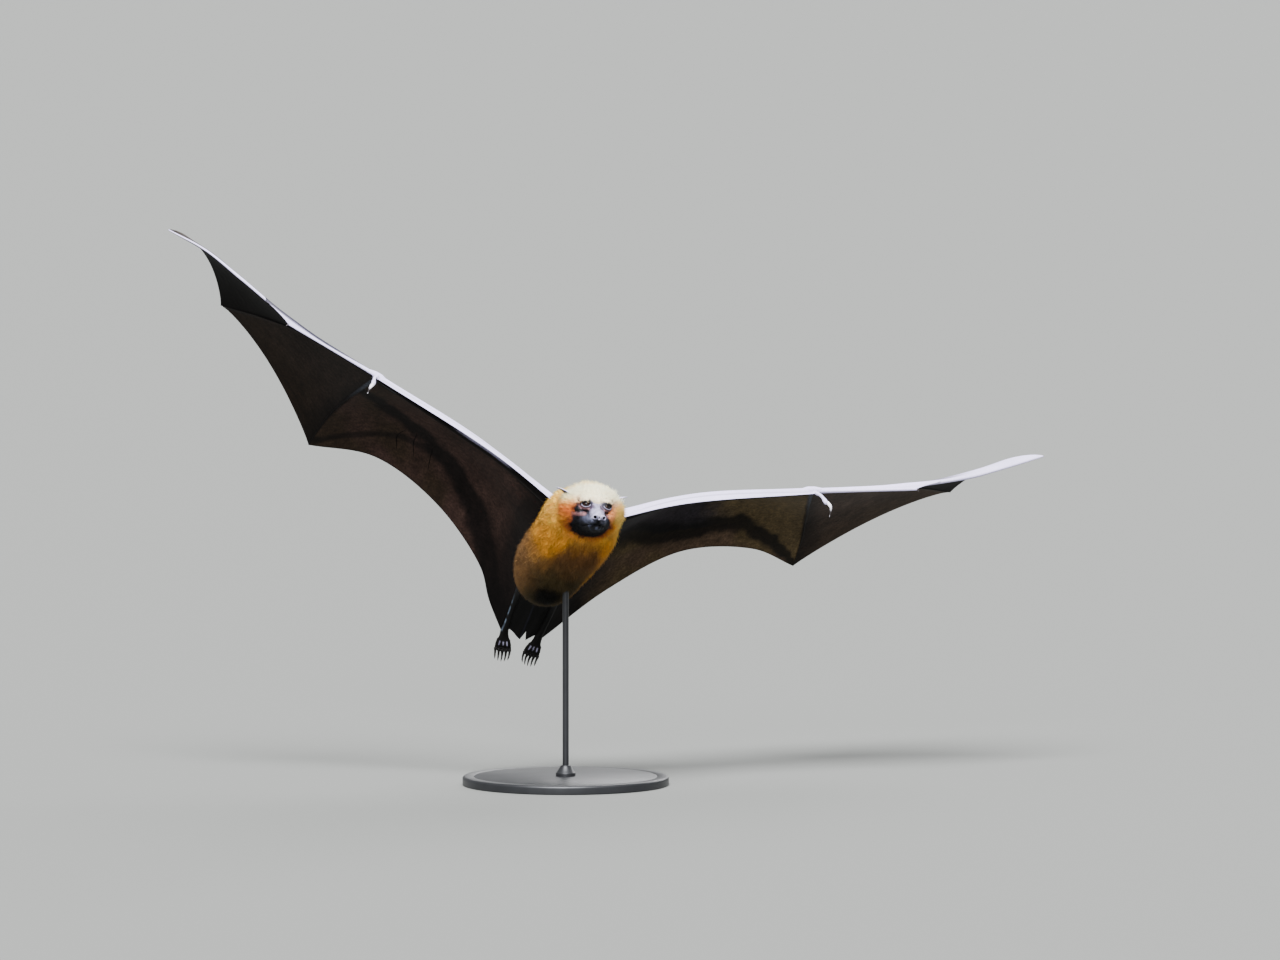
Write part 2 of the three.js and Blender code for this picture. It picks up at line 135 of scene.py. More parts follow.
# Half thickness along the arm, from shoulder to wrist, and along each finger.
LIMB_GIRTH = {
    "arm": [8.6, 7.0, 6.0, 5.6, 5.4, 5.8, 5.8, 5.4, 4.9, 4.4, 4.0],
    "finger_2": [3.0, 2.5, 2.3, 2.1, 2.0, 1.9, 1.8, 1.9, 1.5],
    "finger_3": [3.2, 2.9, 2.7, 2.6, 3.1, 2.4, 2.2, 2.4, 1.9, 1.7, 1.4, 0.9],
    "finger_4": [2.4, 1.8, 1.6, 1.5, 1.5, 2.0, 1.3, 1.5, 1.1, 0.9, 0.55],
    "finger_5": [2.8, 2.2, 2.0, 1.8, 1.7, 2.1, 1.5, 1.6, 1.2, 0.9, 0.6],
}
THUMB_GIRTH = [3.4, 2.7, 2.2, 1.8, 1.7, 1.8, 2.5, 2.3]
THUMB_ROOT_GIRTH = [3, 2.7]
WRIST_GIRTH = [2.4, 4.3, 4.0, 2.2]
THUMB_CLAW_GIRTH = [1.5, 1.5, 1.15, 0.75, 0.22]
TOE_CLAW_GIRTH = [1.35, 1.3, 1.0, 0.7, 0.22]
LEG_GIRTH = [8.5, 6.8, 4.6, 3.4, 3.4, 4.3]
# Half thickness of the thin skin, and of its strip round a bone's free side.
MEMBRANE_HALF, FREE_SIDE_HALF, TAIL_HALF = 0.32, 0.06, 0.35
# How far the skin behind the arm bellies out.
ARM_CAMBER = np.array([0, 0, 14])
# Points of each wing's free edge between the ankle and the little finger.
TRAILING_EDGE = {
    "left": [(68, 185, 31), (137, 158, 86), (219, 182, 128)],
    "right": [(-57.5, 212, -3.5), (-77, 185, 18), (-138, 158, 64), (-214, 182, 120)],
}
LEGS = {
    "left": {"joints": [(4, 128, -10), (12, 184, -8), (9, 237, -21)], "toes": (-0.1, 0.78, -0.61)},
    "right": {"joints": [(-30, 128, -10), (-31, 183, -10), (-30, 237, -24)], "toes": (0.18, 0.76, -0.62)},
}
# How far the skin of each elbow hangs from the bones.
ELBOW_SAG = {"left": (0, 0, 0), "right": (0.8, 1.6, -3)}
# The thumb's end from the wrist, and the points of its claw from there.
THUMB_REACH = {"left": (15.4, -23.4, -23.9), "right": (-6.5, -26, -25)}
THUMB_CLAW = {
    "left": [(0.8, 0, 1.2), (5.9, 0.4, -4.0), (7.6, 8.4, -11.4)],
    "right": [(0, 0, 0), (-2.6, 0, -5.5), (-3.9, 4.1, -11.8)],
}
# The left side's eye and nostril, in the head's frame. The opening is half its width and height.
EYE = {"place": (11, -21.3, 5), "radius": 5.7, "gaze": (0.33, -0.93, 0.15), "opening": (4.9, 2.9)}
CORNEA_BULGE = 0.055
NOSTRIL = {"mouth": (4.55, -45.2, -4.6), "facing": (0.42, -0.9, 0.1)}


# ---- Working in arrays ----
def unit(v):
    return v / np.maximum(np.linalg.norm(v, axis=-1, keepdims=True), 1e-9)


def ease(lo, hi, x):
    """0 below lo, 1 above hi, and smooth between."""
    t = np.clip((x - lo) / (hi - lo), 0, 1)
    return t * t * (3 - 2 * t)


def mix(a, b, t):
    return a + (b - a) * t


def tint(under, over, amount):
    """Lays one colour over another, as strongly as the amount says at each point."""
    return mix(under, over, amount[:, None])


def shade(*rgb):
    """A colour as it looks, 0 to 255, made linear."""
    c = np.array(rgb, float) / 255
    return np.where(c <= 0.04045, c / 12.92, ((c + 0.055) / 1.055) ** 2.4)


def cloud(points, size, seed):
    """Smooth noise from 0 to 1 with lumps of the given size."""
    p = np.asarray(points, float) / size + 1000.0
    cell = np.floor(p).astype(np.int64)
    f = p - cell
    f = f * f * (3 - 2 * f)
    total = np.zeros(p.shape[:-1])
    for corner in range(8):
        o = np.array([corner & 1, corner >> 1 & 1, corner >> 2 & 1])
        q = (cell + o) * np.array([73856093, 19349663, 83492791]) + seed * 2654435
        h = (q[..., 0] ^ q[..., 1] ^ q[..., 2]) & 0xFFFFFFFF
        h = (h * 1103515245 + 12345) & 0x7FFFFFFF
        h = ((h >> 7) * 69069 + 1) & 0x7FFFFFFF
        weight = np.prod(np.where(o, f, 1 - f), axis=-1)
        total += weight * (h & 0xFFFF) / 65535
    return total


class Line:
    """A smooth line through points (a centripetal Catmull-Rom curve), read by its share of the length."""

    def __init__(self, points):
        p = np.array(points, float)
        p = np.vstack([2 * p[0] - p[1], p, 2 * p[-1] - p[-2]])
        dense = [p[1:2]]
        s = np.linspace(0, 1, 40)[1:, None]
        for p0, p1, p2, p3 in zip(p, p[1:], p[2:], p[3:]):
            d0, d1, d2 = (np.sqrt(np.linalg.norm(b - a)) for a, b in ((p0, p1), (p1, p2), (p2, p3)))
            m1 = ((p1 - p0) / d0 - (p2 - p0) / (d0 + d1) + (p2 - p1) / d1) * d1
            m2 = ((p2 - p1) / d1 - (p3 - p1) / (d1 + d2) + (p3 - p2) / d2) * d1
            c2 = -3 * p1 + 3 * p2 - 2 * m1 - m2
            c3 = 2 * p1 - 2 * p2 + m1 + m2
            dense.append(p1 + m1 * s + c2 * s**2 + c3 * s**3)
        self.points = np.vstack(dense)
        steps = np.linalg.norm(np.diff(self.points, axis=0), axis=1)
        self.length = steps.sum()
        self.share = np.concatenate([[0], np.cumsum(steps)]) / self.length

    def at(self, t):
        t = np.asarray(t, float)
        return np.stack([np.interp(t, self.share, self.points[:, k]) for k in range(3)], -1)


def spread(values, t):
    """Value at t = 0..1 on a list of values that are spaced evenly."""
    return np.interp(t, np.linspace(0, 1, len(values)), values)


# ---- Making meshes ----
def place_object(name, data):
    made = bpy.data.objects.new(name, data)
    bpy.context.scene.collection.objects.link(made)
    return made


def make_piece(name, points, faces, material, paint):
    """A smooth mesh from points in the model's frame, faces of three or four corners and a paint per point."""
    faces = [np.asarray(f, np.int32) for f in faces if len(f)]
    corners = np.concatenate([f.ravel() for f in faces])
    counts = np.concatenate([np.full(len(f), f.shape[1], np.int32) for f in faces])
    mesh = bpy.data.meshes.new(name)
    mesh.vertices.add(len(points))
    mesh.vertices.foreach_set("co", np.asarray(points, np.float32).ravel())
    mesh.loops.add(len(corners))
    mesh.loops.foreach_set("vertex_index", corners)
    mesh.polygons.add(len(counts))
    mesh.polygons.foreach_set("loop_start", np.concatenate([[0], np.cumsum(counts)[:-1]]).astype(np.int32))
    mesh.polygons.foreach_set("use_smooth", np.ones(len(counts), bool))
    mesh.update(calc_edges=True)
    layer = mesh.color_attributes.new("Paint", "FLOAT_COLOR", "POINT")
    rgba = np.ones((len(points), 4), np.float32)
    rgba[:, : paint.shape[1]] = paint
    layer.data.foreach_set("color", rgba.ravel())
    mesh.materials.append(material)
    return place_object(name, mesh)


def with_grain(paint, strength):
    """Adds a fourth value to each colour: how strongly the finish's grain and bumps show there."""
    return np.hstack([paint, np.full((len(paint), 1), strength)])


class Shape:
    """Points, paint and faces collected for one piece, in the bat's frame."""

    def __init__(self):
        self.points, self.paint, self.triangles, self.quads, self.count = [], [], [], [], 0

    def add(self, points, paint, triangles=(), quads=()):
        points = np.asarray(points, float)
        self.points.append(points)
        paint = np.broadcast_to(paint, (len(points), np.shape(paint)[-1]))
        self.paint.append(paint if paint.shape[1] == 4 else with_grain(paint, 1))
        if len(triangles):
            self.triangles.append(np.asarray(triangles) + self.count)
        if len(quads):
            self.quads.append(np.asarray(quads) + self.count)
        self.count += len(points)

    def make(self, name, material):
        faces = [np.vstack(group) for group in (self.triangles, self.quads) if group]
        return make_piece(name, to_world(np.vstack(self.points)), faces, material, np.vstack(self.paint))


def grid_quads(rows, columns):
    """The quads of an open grid of points."""
    index = np.arange(rows * columns).reshape(rows, columns)
    return np.stack([index[:-1, :-1], index[:-1, 1:], index[1:, 1:], index[1:, :-1]], -1).reshape(-1, 4)


def barrel_faces(rings, sides):
    """The fans at the two end points, which follow the rings, and the quads round the row of rings."""
    index = np.arange(rings * sides).reshape(rings, sides)
    beside = np.roll(index, -1, axis=1)
    quads = np.stack([index[:-1], index[1:], beside[1:], beside[:-1]], -1).reshape(-1, 4)
    first, last = np.full(sides, rings * sides), np.full(sides, rings * sides + 1)
    fans = [np.stack([first, index[0], beside[0]], -1), np.stack([last, beside[-1], index[-1]], -1)]
    return np.vstack(fans), quads


def tube(line_points, girths, sides=16, rings=24, flat=1.0):
    """A closed tapering tube: points, triangles, quads and each point's share of the length.

    Flat is its height over its width.
    """
    line = Line(line_points)
    t = np.linspace(0, 1, rings)
    centre = line.at(t)
    along = unit(np.gradient(centre, axis=0))
    up = np.array([0.0, 0, 1])
    up = unit(up - along * (along @ up)[:, None])
    side = np.cross(along, up)
    radius = spread(girths, t)[:, None, None]
    angle = np.linspace(0, 2 * np.pi, sides, endpoint=False)[None, :, None]
    ring = centre[:, None] + radius * (np.cos(angle) * side[:, None] + np.sin(angle) * flat * up[:, None])
    ends = [centre[:1] - along[:1] * girths[0] * 0.5, centre[-1:] + along[-1:] * girths[-1]]
    points = np.vstack([ring.reshape(-1, 3), *ends])
    return points, *barrel_faces(rings, sides), np.concatenate([np.repeat(t, sides), [0, 1]])


# ---- Sculpting ----
class Clay:
    """A distance field on a grid of uneven spacing, built up from simple volumes."""

    def __init__(self, xs, ys, zs):
        self.axes = [np.asarray(a, np.float32) for a in (xs, ys, zs)]
        self.field = np.full([len(a) for a in self.axes], 50, np.float32)

    def _part(self, lo, hi):
        slices = []
        for axis, a, b in zip(self.axes, lo, hi):
            i, j = np.searchsorted(axis, [a, b])
            slices.append(slice(max(i - 1, 0), min(j + 1, len(axis))))
        grids = np.meshgrid(*[axis[s] for axis, s in zip(self.axes, slices)], indexing="ij")
        return tuple(slices), np.stack(grids, -1)

    def add(self, volume, lo, hi, soft=1.0, frame=None):
        """Joins a volume on, with a fillet of the given size."""
        part, points = self._part(lo, hi)
        if points.size == 0:
            return
        b = volume(points if frame is None else frame(points)).astype(np.float32)
        a = self.field[part]
        h = np.clip(0.5 + 0.5 * (b - a) / soft, 0, 1)
        self.field[part] = mix(b, a, h) - soft * h * (1 - h)

    def cut(self, volume, lo, hi, soft=0.5, frame=None):
        """Takes a volume away, with rounded lips."""
        part, points = self._part(lo, hi)
        if points.size == 0:
            return
        b = -volume(points if frame is None else frame(points)).astype(np.float32)
        a = self.field[part]
        h = np.clip(0.5 - 0.5 * (b - a) / soft, 0, 1)
        self.field[part] = mix(b, a, h) + soft * h * (1 - h)

    def engrave(self, beside, width, depth, lo, hi, soft=0.4, frame=None):
        """Presses a groove into the surface, where beside(p) is the distance from its line."""
        part, points = self._part(lo, hi)
        a = self.field[part]
        groove = np.maximum(beside(points if frame is None else frame(points)) - width, -depth - a)
        b = -groove.astype(np.float32)
        h = np.clip(0.5 - 0.5 * (b - a) / soft, 0, 1)
        self.field[part] = mix(b, a, h) + soft * h * (1 - h)

    def skin(self):
        """The surface of the field, as points and quads."""
        f = self.field
        inside = f < 0
        shape = np.array(f.shape) - 1
        total = np.zeros((*shape, 3), np.float32)
        count = np.zeros(shape, np.int32)
        crossings = []
        for d in range(3):
            lower = [slice(None)] * 3
            upper = [slice(None)] * 3
            lower[d], upper[d] = slice(0, -1), slice(1, None)
            a, b = f[tuple(lower)], f[tuple(upper)]
            cross = inside[tuple(lower)] != inside[tuple(upper)]
            where = np.argwhere(cross)
            av, bv = a[cross], b[cross]
            t = av / (av - bv)
            place = np.stack([self.axes[k][where[:, k]] for k in range(3)], -1)
            place[:, d] += t * (self.axes[d][where[:, d] + 1] - place[:, d])
            others = [k for k in range(3) if k != d]
            for o0 in (0, 1):
                for o1 in (0, 1):
                    cell = where.copy()
                    cell[:, others[0]] -= o0
                    cell[:, others[1]] -= o1
                    good = np.all((cell >= 0) & (cell < shape), axis=1)
                    c = cell[good]
                    np.add.at(total, tuple(c.T), place[good])
                    np.add.at(count, tuple(c.T), 1)
            crossings.append((d, others, where, inside[tuple(lower)][cross]))
        used = count > 0
        number = np.full(shape, -1, np.int64)
        number[used] = np.arange(used.sum())
        points = total[used] / count[used][:, None]
        quads = []
        for d, others, where, low_inside in crossings:
            good = np.all([(where[:, k] > 0) & (where[:, k] < shape[k]) for k in others], axis=0)
            w, out = where[good], low_inside[good]
            corner = []
            for o0, o1 in ((0, 0), (1, 0), (1, 1), (0, 1)):
                cell = w.copy()
                cell[:, others[0]] -= o0
                cell[:, others[1]] -= o1
                corner.append(number[tuple(cell.T)])
            q = np.stack(corner, -1)
            flip = out if d != 1 else ~out
            quads.append(np.where(flip[:, None], q, q[:, ::-1]))
        return points, np.vstack(quads)


def ball(centre, radii):
    centre, radii = np.array(centre, float), np.array(radii, float) * np.ones(3)

    def volume(p):
        q = p - centre
        k0 = np.linalg.norm(q / radii, axis=-1)
        k1 = np.linalg.norm(q / radii**2, axis=-1)
        return k0 * (k0 - 1) / np.maximum(k1, 1e-6)

    return volume


def rod(a, b, ra, rb):
    a, b = np.array(a, float), np.array(b, float)

    def volume(p):
        t = np.clip((p - a) @ (b - a) / max((b - a) @ (b - a), 1e-9), 0, 1)
        return np.linalg.norm(p - a - t[..., None] * (b - a), axis=-1) - mix(ra, rb, t)

    return volume


def chain(points, radii):
    """A rod with bends, as one volume."""
    points = np.asarray(points, float)
    radii = np.broadcast_to(radii, len(points))

    def volume(p):
        best = None
        for a, b, ra, rb in zip(points, points[1:], radii, radii[1:]):
            d = rod(a, b, ra, rb)(p)
            best = d if best is None else np.minimum(best, d)
        return best

    return volume


def stack(sections, sign):
    """A volume of oval sections along Y, each (distance, half width, half height, rise, sway or none)."""
    rows = np.array([list(s) + [0] * (5 - len(s)) for s in sections], float)
    fine = Line(rows[:, :3])
    place = fine.points[:, 0]
    middle = Line(rows[:, [0, 3, 4]])

    def volume(p):
        d = sign * p[..., 1]
        w = np.interp(d, place, fine.points[:, 1])
        h = np.interp(d, place, fine.points[:, 2])
        rise = np.interp(d, middle.points[:, 0], middle.points[:, 1])
        sway = np.interp(d, middle.points[:, 0], middle.points[:, 2])
        roundness = np.hypot((p[..., 0] - sway) / w, (p[..., 2] - rise) / h)
        inside = (roundness - 1) * np.minimum(w, h)
        beyond = np.maximum(rows[0, 0] - d, d - rows[-1, 0])
        return np.where(beyond > 0, np.hypot(np.maximum(inside, 0), beyond), np.maximum(inside, beyond))

    return volume


def uneven(lo, hi, fine_lo, fine_hi, fine, coarse, growth=1.12):
    """Grid places that are fine in the middle and widen outwards to the coarse step."""
    middle = list(np.arange(fine_lo, fine_hi, fine))
    for sign, end in ((-1, lo), (1, hi)):
        step, place, run = fine, middle[0] if sign < 0 else middle[-1], []
        while (place - end) * sign < 0:
            step = min(step * growth, coarse)
            place += sign * step
            run.append(place)
        middle = run[::-1] + middle if sign < 0 else middle + run
    return middle


# ---- Materials ----
def finish_for(name, roughness, bumps=(), grain=0.0, grain_size=400, specular=0.5):
    """Skin, fur, horn or steel in the piece's own paint, with grain and bumps where the paint asks for them.

    Grain is how far its mottling lightens and darkens the paint, and grain_size is per metre.
    Each bump is (pattern, size per metre, strength, depth).
    """
    material = bpy.data.materials.new(name)
    material.use_nodes = True
    nodes, links = material.node_tree.nodes, material.node_tree.links
    shader = nodes["Principled BSDF"]
    shader.inputs["Roughness"].default_value = roughness
    shader.inputs["Specular IOR Level"].default_value = specular
    place = nodes.new("ShaderNodeTexCoord")
    paint = nodes.new("ShaderNodeAttribute")
    paint.attribute_name = "Paint"
    colour = paint.outputs["Color"]
    if grain:
        mottle = nodes.new("ShaderNodeTexNoise")
        mottle.inputs["Scale"].default_value = grain_size
        mottle.inputs["Detail"].default_value = 5
        links.new(place.outputs["Object"], mottle.inputs["Vector"])
        level = nodes.new("ShaderNodeMapRange")
        limits = {"From Min": 0.3, "From Max": 0.7, "To Min": 1 - grain, "To Max": 1 + grain}
        for limit, value in limits.items():
            level.inputs[limit].default_value = value
        links.new(mottle.outputs["Fac"], level.inputs["Value"])
        blend = nodes.new("ShaderNodeMix")
        blend.data_type, blend.blend_type = "RGBA", "MULTIPLY"
        links.new(paint.outputs["Alpha"], blend.inputs[0])
        links.new(colour, blend.inputs[6])
        links.new(level.outputs["Result"], blend.inputs[7])
        colour = blend.outputs[2]
    links.new(colour, shader.inputs["Base Color"])
    last = None
    for pattern, size, strength, depth in bumps:
        if pattern == "pebbles":
            field = nodes.new("ShaderNodeTexVoronoi")
            out = field.outputs["Distance"]
        else:
            field = nodes.new("ShaderNodeTexNoise")
            field.inputs["Detail"].default_value = 4
            out = field.outputs["Fac"]
        if pattern == "wrinkles":
            field.noise_type = "RIDGED_MULTIFRACTAL"
        field.inputs["Scale"].default_value = size
        links.new(place.outputs["Object"], field.inputs["Vector"])
        bump = nodes.new("ShaderNodeBump")
        amount = nodes.new("ShaderNodeMath")
        amount.operation = "MULTIPLY"
        amount.inputs[1].default_value = strength
        links.new(paint.outputs["Alpha"], amount.inputs[0])
        links.new(amount.outputs["Value"], bump.inputs["Strength"])
        bump.inputs["Distance"].default_value = depth
        links.new(out, bump.inputs["Height"])
        if last is not None:
            links.new(last.outputs["Normal"], bump.inputs["Normal"])
        last = bump
    if last is not None:
        links.new(last.outputs["Normal"], shader.inputs["Normal"])
    return material


PORES = ("pebbles", 1500, 0.15, 0.0002)
FACE_SKIN = finish_for("bare skin", 0.58, [PORES, ("grain", 700, 0.2, 0.0003)], 0.2, 500, specular=0.2)
WRINKLES = [("wrinkles", 110, 0.35, 0.0008), ("grain", 900, 0.25, 0.0002)]
MEMBRANE_SKIN = finish_for("membrane skin", 0.62, WRINKLES, 0.35, 420, specular=0.07)
LEG_SKIN = finish_for("leg skin", 0.6, [("pebbles", 1500, 0.2, 0.0002)], 0.25, 500, specular=0.12)
FUR = finish_for("fur", 0.7, grain=0.1, grain_size=300, specular=0.12)
EYE_GLOSS = finish_for("wet eye", 0.05, specular=0.4)
HORN = finish_for("claw horn", 0.4, [("grain", 900, 0.15, 0.0002)], 0.2, 900, specular=0.3)
STAND_METAL = finish_for("satin black steel", 0.42, [("grain", 2400, 0.12, 0.0001)], 0.12, 60)
STAND_METAL.node_tree.nodes["Principled BSDF"].inputs["Metallic"].default_value = 0.6

# ---- Colours ----
CREAM = shade(255, 246, 214)
PALE_GOLD = shade(255, 214, 112)
GOLD = shade(255, 182, 58)
AMBER = shade(208, 124, 50)
RUST = shade(226, 116, 58)
TAN = shade(138, 102, 64)
OLIVE = shade(74, 63, 38)
UMBER = shade(44, 31, 20)
SOOT = shade(7, 6, 6)
SLATE = shade(64, 66, 84)
MASK = shade(13, 13, 18)
LAVENDER = shade(204, 198, 232)
LILAC_GREY = shade(150, 146, 172)
PINK_GREY = shade(140, 100, 104)
MEMBRANE_BLACK = shade(8, 6, 6)
MEMBRANE_BROWN = shade(42, 32, 24)
MEMBRANE_OLIVE = shade(54, 44, 28)
MEMBRANE_RED = shade(46, 33, 29)
MEMBRANE_GREY = shade(48, 38, 33)


# ---- Bones of the wings ----
SIDES = {"left": 1, "right": -1}
# Patches of a wing's skin. Patches 2, 3 and 4 lie behind the fingers of those numbers.
AHEAD_OF_ARM, BEHIND_ARM, FREE_SIDE = 1, 5, 9


def wing_bones(name):
    """The side's sign, a line along each bone, and the joints of each."""
    side = SIDES[name]
    lines = {}
    root = joint = SHOULDER * [side, 1, 1]
    for bone, lengths in BONE.items():
        points = [joint]
        for length, (sweep, lift) in zip(lengths, WING_POSE[name][bone]):
            a, b = math.radians(sweep), math.radians(lift)
            step = np.array([side * math.cos(b) * math.cos(a), math.cos(b) * math.sin(a), math.sin(b)])
            points.append(points[-1] + length * step)
        lines[bone] = points
        if bone in ("upper_arm", "forearm"):
            joint = points[-1]
    wrist = joint
    end = wrist + THUMB_REACH[name]
    lines["thumb"] = [wrist, (wrist + end) / 2 + [side * 1.5, -1, 2], end]
    lines["claw"] = list(end + np.array(THUMB_CLAW[name]))
    lines["arm"] = [root, lines["upper_arm"][1] + ELBOW_SAG[name], wrist]
    return side, {k: Line(v) for k, v in lines.items()}, lines


def near_bone(points, line, girths, steps=60):
    """Each point's distance from a bone over the bone's radius there, that radius, and the place along it."""
    nodes = line.at(np.linspace(0, 1, steps + 1))
    a, b = nodes[:-1], nodes[1:]
    ab = b - a
    best = np.full(len(points), np.inf)
    place = np.zeros(len(points))
    for i in range(steps):
        t = np.clip((points - a[i]) @ ab[i] / (ab[i] @ ab[i]), 0, 1)
        d = np.linalg.norm(points - a[i] - t[:, None] * ab[i], axis=1)
        closer = d < best
        best[closer] = d[closer]
        place[closer] = (i + t[closer]) / steps
    radius = spread(girths, place)
    return best / radius, radius, place


class Sheet:
    """Thin skin over bones: patches that share their edges, thickened and closed round the rim."""

    weld_gap = 0.004

    def __init__(self):
        self.points, self.quads, self.marks, self.count = [], [], [], 0

    def patch(self, grid, marks):
        """Rows and columns of points, with marks of the same shape for their colours."""
        rows, columns = grid.shape[:2]
        quads = grid_quads(rows, columns)
        p = grid.reshape(-1, 3)
        up = np.cross(p[quads[:, 2]] - p[quads[:, 0]], p[quads[:, 3]] - p[quads[:, 1]])[:, 2].sum()
        if up < 0:
            quads = quads[:, ::-1]
        self.points.append(p)
        self.quads.append(quads + self.count)
        self.marks.append(marks.reshape(rows * columns, -1))
        self.count += rows * columns

    def weld(self):
        """Joins the patches, makes pinched quads triangles, and finds the rim and the smoothed normals."""
        p, q, m = np.vstack(self.points), np.vstack(self.quads), np.vstack(self.marks)
        cell = np.round(p / self.weld_gap).astype(np.int64)
        _, first, inverse = np.unique(cell, axis=0, return_index=True, return_inverse=True)
        inverse = inverse.ravel()
        self.p, self.m = p[first], m[first]
        q = inverse[q]
        same = q == np.roll(q, -1, axis=1)
        whole = q[~same.any(axis=1)]
        pinched = q[same.sum(axis=1) == 1]
        where = same[same.sum(axis=1) == 1].argmax(axis=1)
        keep = (where[:, None] + [1, 2, 3]) % 4
        self.q = whole
        self.t = np.take_along_axis(pinched, keep, axis=1)
        faces = [f for f in (self.q, self.t) if len(f)]
        edges = np.vstack([np.roll(f, -k, axis=1)[:, :2] for f in faces for k in range(f.shape[1])])
        n = len(self.p)
        key = edges[:, 0] * n + edges[:, 1]
        back = edges[:, 1] * n + edges[:, 0]
        self.rim = edges[~np.isin(key, back)]
        normal = np.zeros((n, 3))
        for f in faces:
            corner = [self.p[f[:, k]] - self.p[f[:, 0]] for k in range(f.shape[1])]
            face = np.cross(corner[1], corner[2])
            if len(corner) == 4:
                face += np.cross(corner[2], corner[3])
            for k in range(len(corner)):
                np.add.at(normal, f[:, k], face)
        normal = unit(normal)
        for _ in range(4):
            total = normal.copy()
            np.add.at(total, edges[:, 0], normal[edges[:, 1]])
            np.add.at(total, edges[:, 1], normal[edges[:, 0]])
            normal = unit(total)
        self.normal = normal

    def closed(self, height):
        """Both faces of the sheet and its rim. The height is from the middle to either face."""
        n = len(self.p)
        points = np.vstack([self.p + self.normal * height[:, None], self.p - self.normal * height[:, None]])
        a, b = self.rim.T
        walls = np.stack([b, a, a + n, b + n], -1)
        quads = np.vstack([self.q, self.q[:, ::-1] + n, walls])
        triangles = np.vstack([self.t, self.t[:, ::-1] + n]) if len(self.t) else self.t
        return points, triangles, quads


# Places over a bone, from its middle to its side, and how far along finger 3 the skin of the index reaches.
CROWD = np.array([0, 0.22, 0.4, 0.55, 0.68, 0.82, 1.0])
WEB_REACH = 0.52


def clustered(near, far, count):
    """Places from 0 to 1 that crowd towards a bone at either end, out to the given share of the way."""
    middle = np.linspace(near, 1 - far, count + 2)[1:-1]
    return np.concatenate([CROWD * near, middle, 1 - CROWD[::-1] * far])


# Places along a finger, which crowd at its root, and along the arm, which crowd at the wrist.
SPREAD_T = np.concatenate([
    0.07 * np.array([0, 0.2, 0.4, 0.6, 0.8]), np.linspace(0.07, 0.985, 70), [0.993, 1.0],
])
AT_WRIST = 0.96 + 0.04 * np.array([0.2, 0.38, 0.54, 0.68, 0.8, 0.9, 1.0])
SPREAD_ARM = np.concatenate([np.linspace(0, 0.96, 72), AT_WRIST])


def finger_patch(a, b, reach, hollow, rise, girth_a, girth_b, count=20):
    """The skin between two fingers, out to the reach on the second, with a hollow free edge that rises."""
    tip_a, tip_b = a.at(1.0), b.at(reach)
    chord = unit(tip_b - tip_a)
    inward = a.at(0.0) - (tip_a + tip_b) / 2
    inward = unit(inward - (inward @ chord) * chord) * hollow
    pull = inward + [0, 0, rise]
    rows, marks = [], []
    for t in SPREAD_T:
        pa, pb = a.at(t), b.at(t * reach)
        width = max(np.linalg.norm(pb - pa), 1e-6)
        near = min(1.7 * spread(girth_a, t) / width, 0.3)
        far = min(1.7 * spread(girth_b, t * reach) / width, 0.3)
        u = clustered(near, far, count)
        slack = np.sin(np.pi * u**0.85).clip(0) ** 0.8 * t**3
        rows.append(mix(pa, pb, u[:, None]) + slack[:, None] * pull)
        marks.append(np.stack([u, np.full(len(u), t)], -1))
    return np.array(rows), np.array(marks)


def bone_margin(line, inner, girths, shares):
    """A strip along a bone's free side, so that its skin goes round the bone."""
    centre = line.at(shares)
    along = unit(np.gradient(centre, axis=0))
    away = centre - inner
    away = unit(away - (away * along).sum(1)[:, None] * along)
    radius = spread(girths, shares)[:, None]
    steps = np.array([0, 0.35, 0.62, 0.82, 0.95, 1.0])
    return centre[:, None] + steps[None, :, None] * (away * radius)[:, None]


def rounded(ratio):
    """The height of skin over a bone, as a share of its radius: round on top, easing into the sheet."""
    top = np.sqrt(np.clip(1 - ratio**2, 0, 1))
    skirt = 0.6 * np.clip(1 - (ratio - 0.8) / 0.75, 0, 1) ** 2
    return np.where(ratio < 0.8, top, skirt)


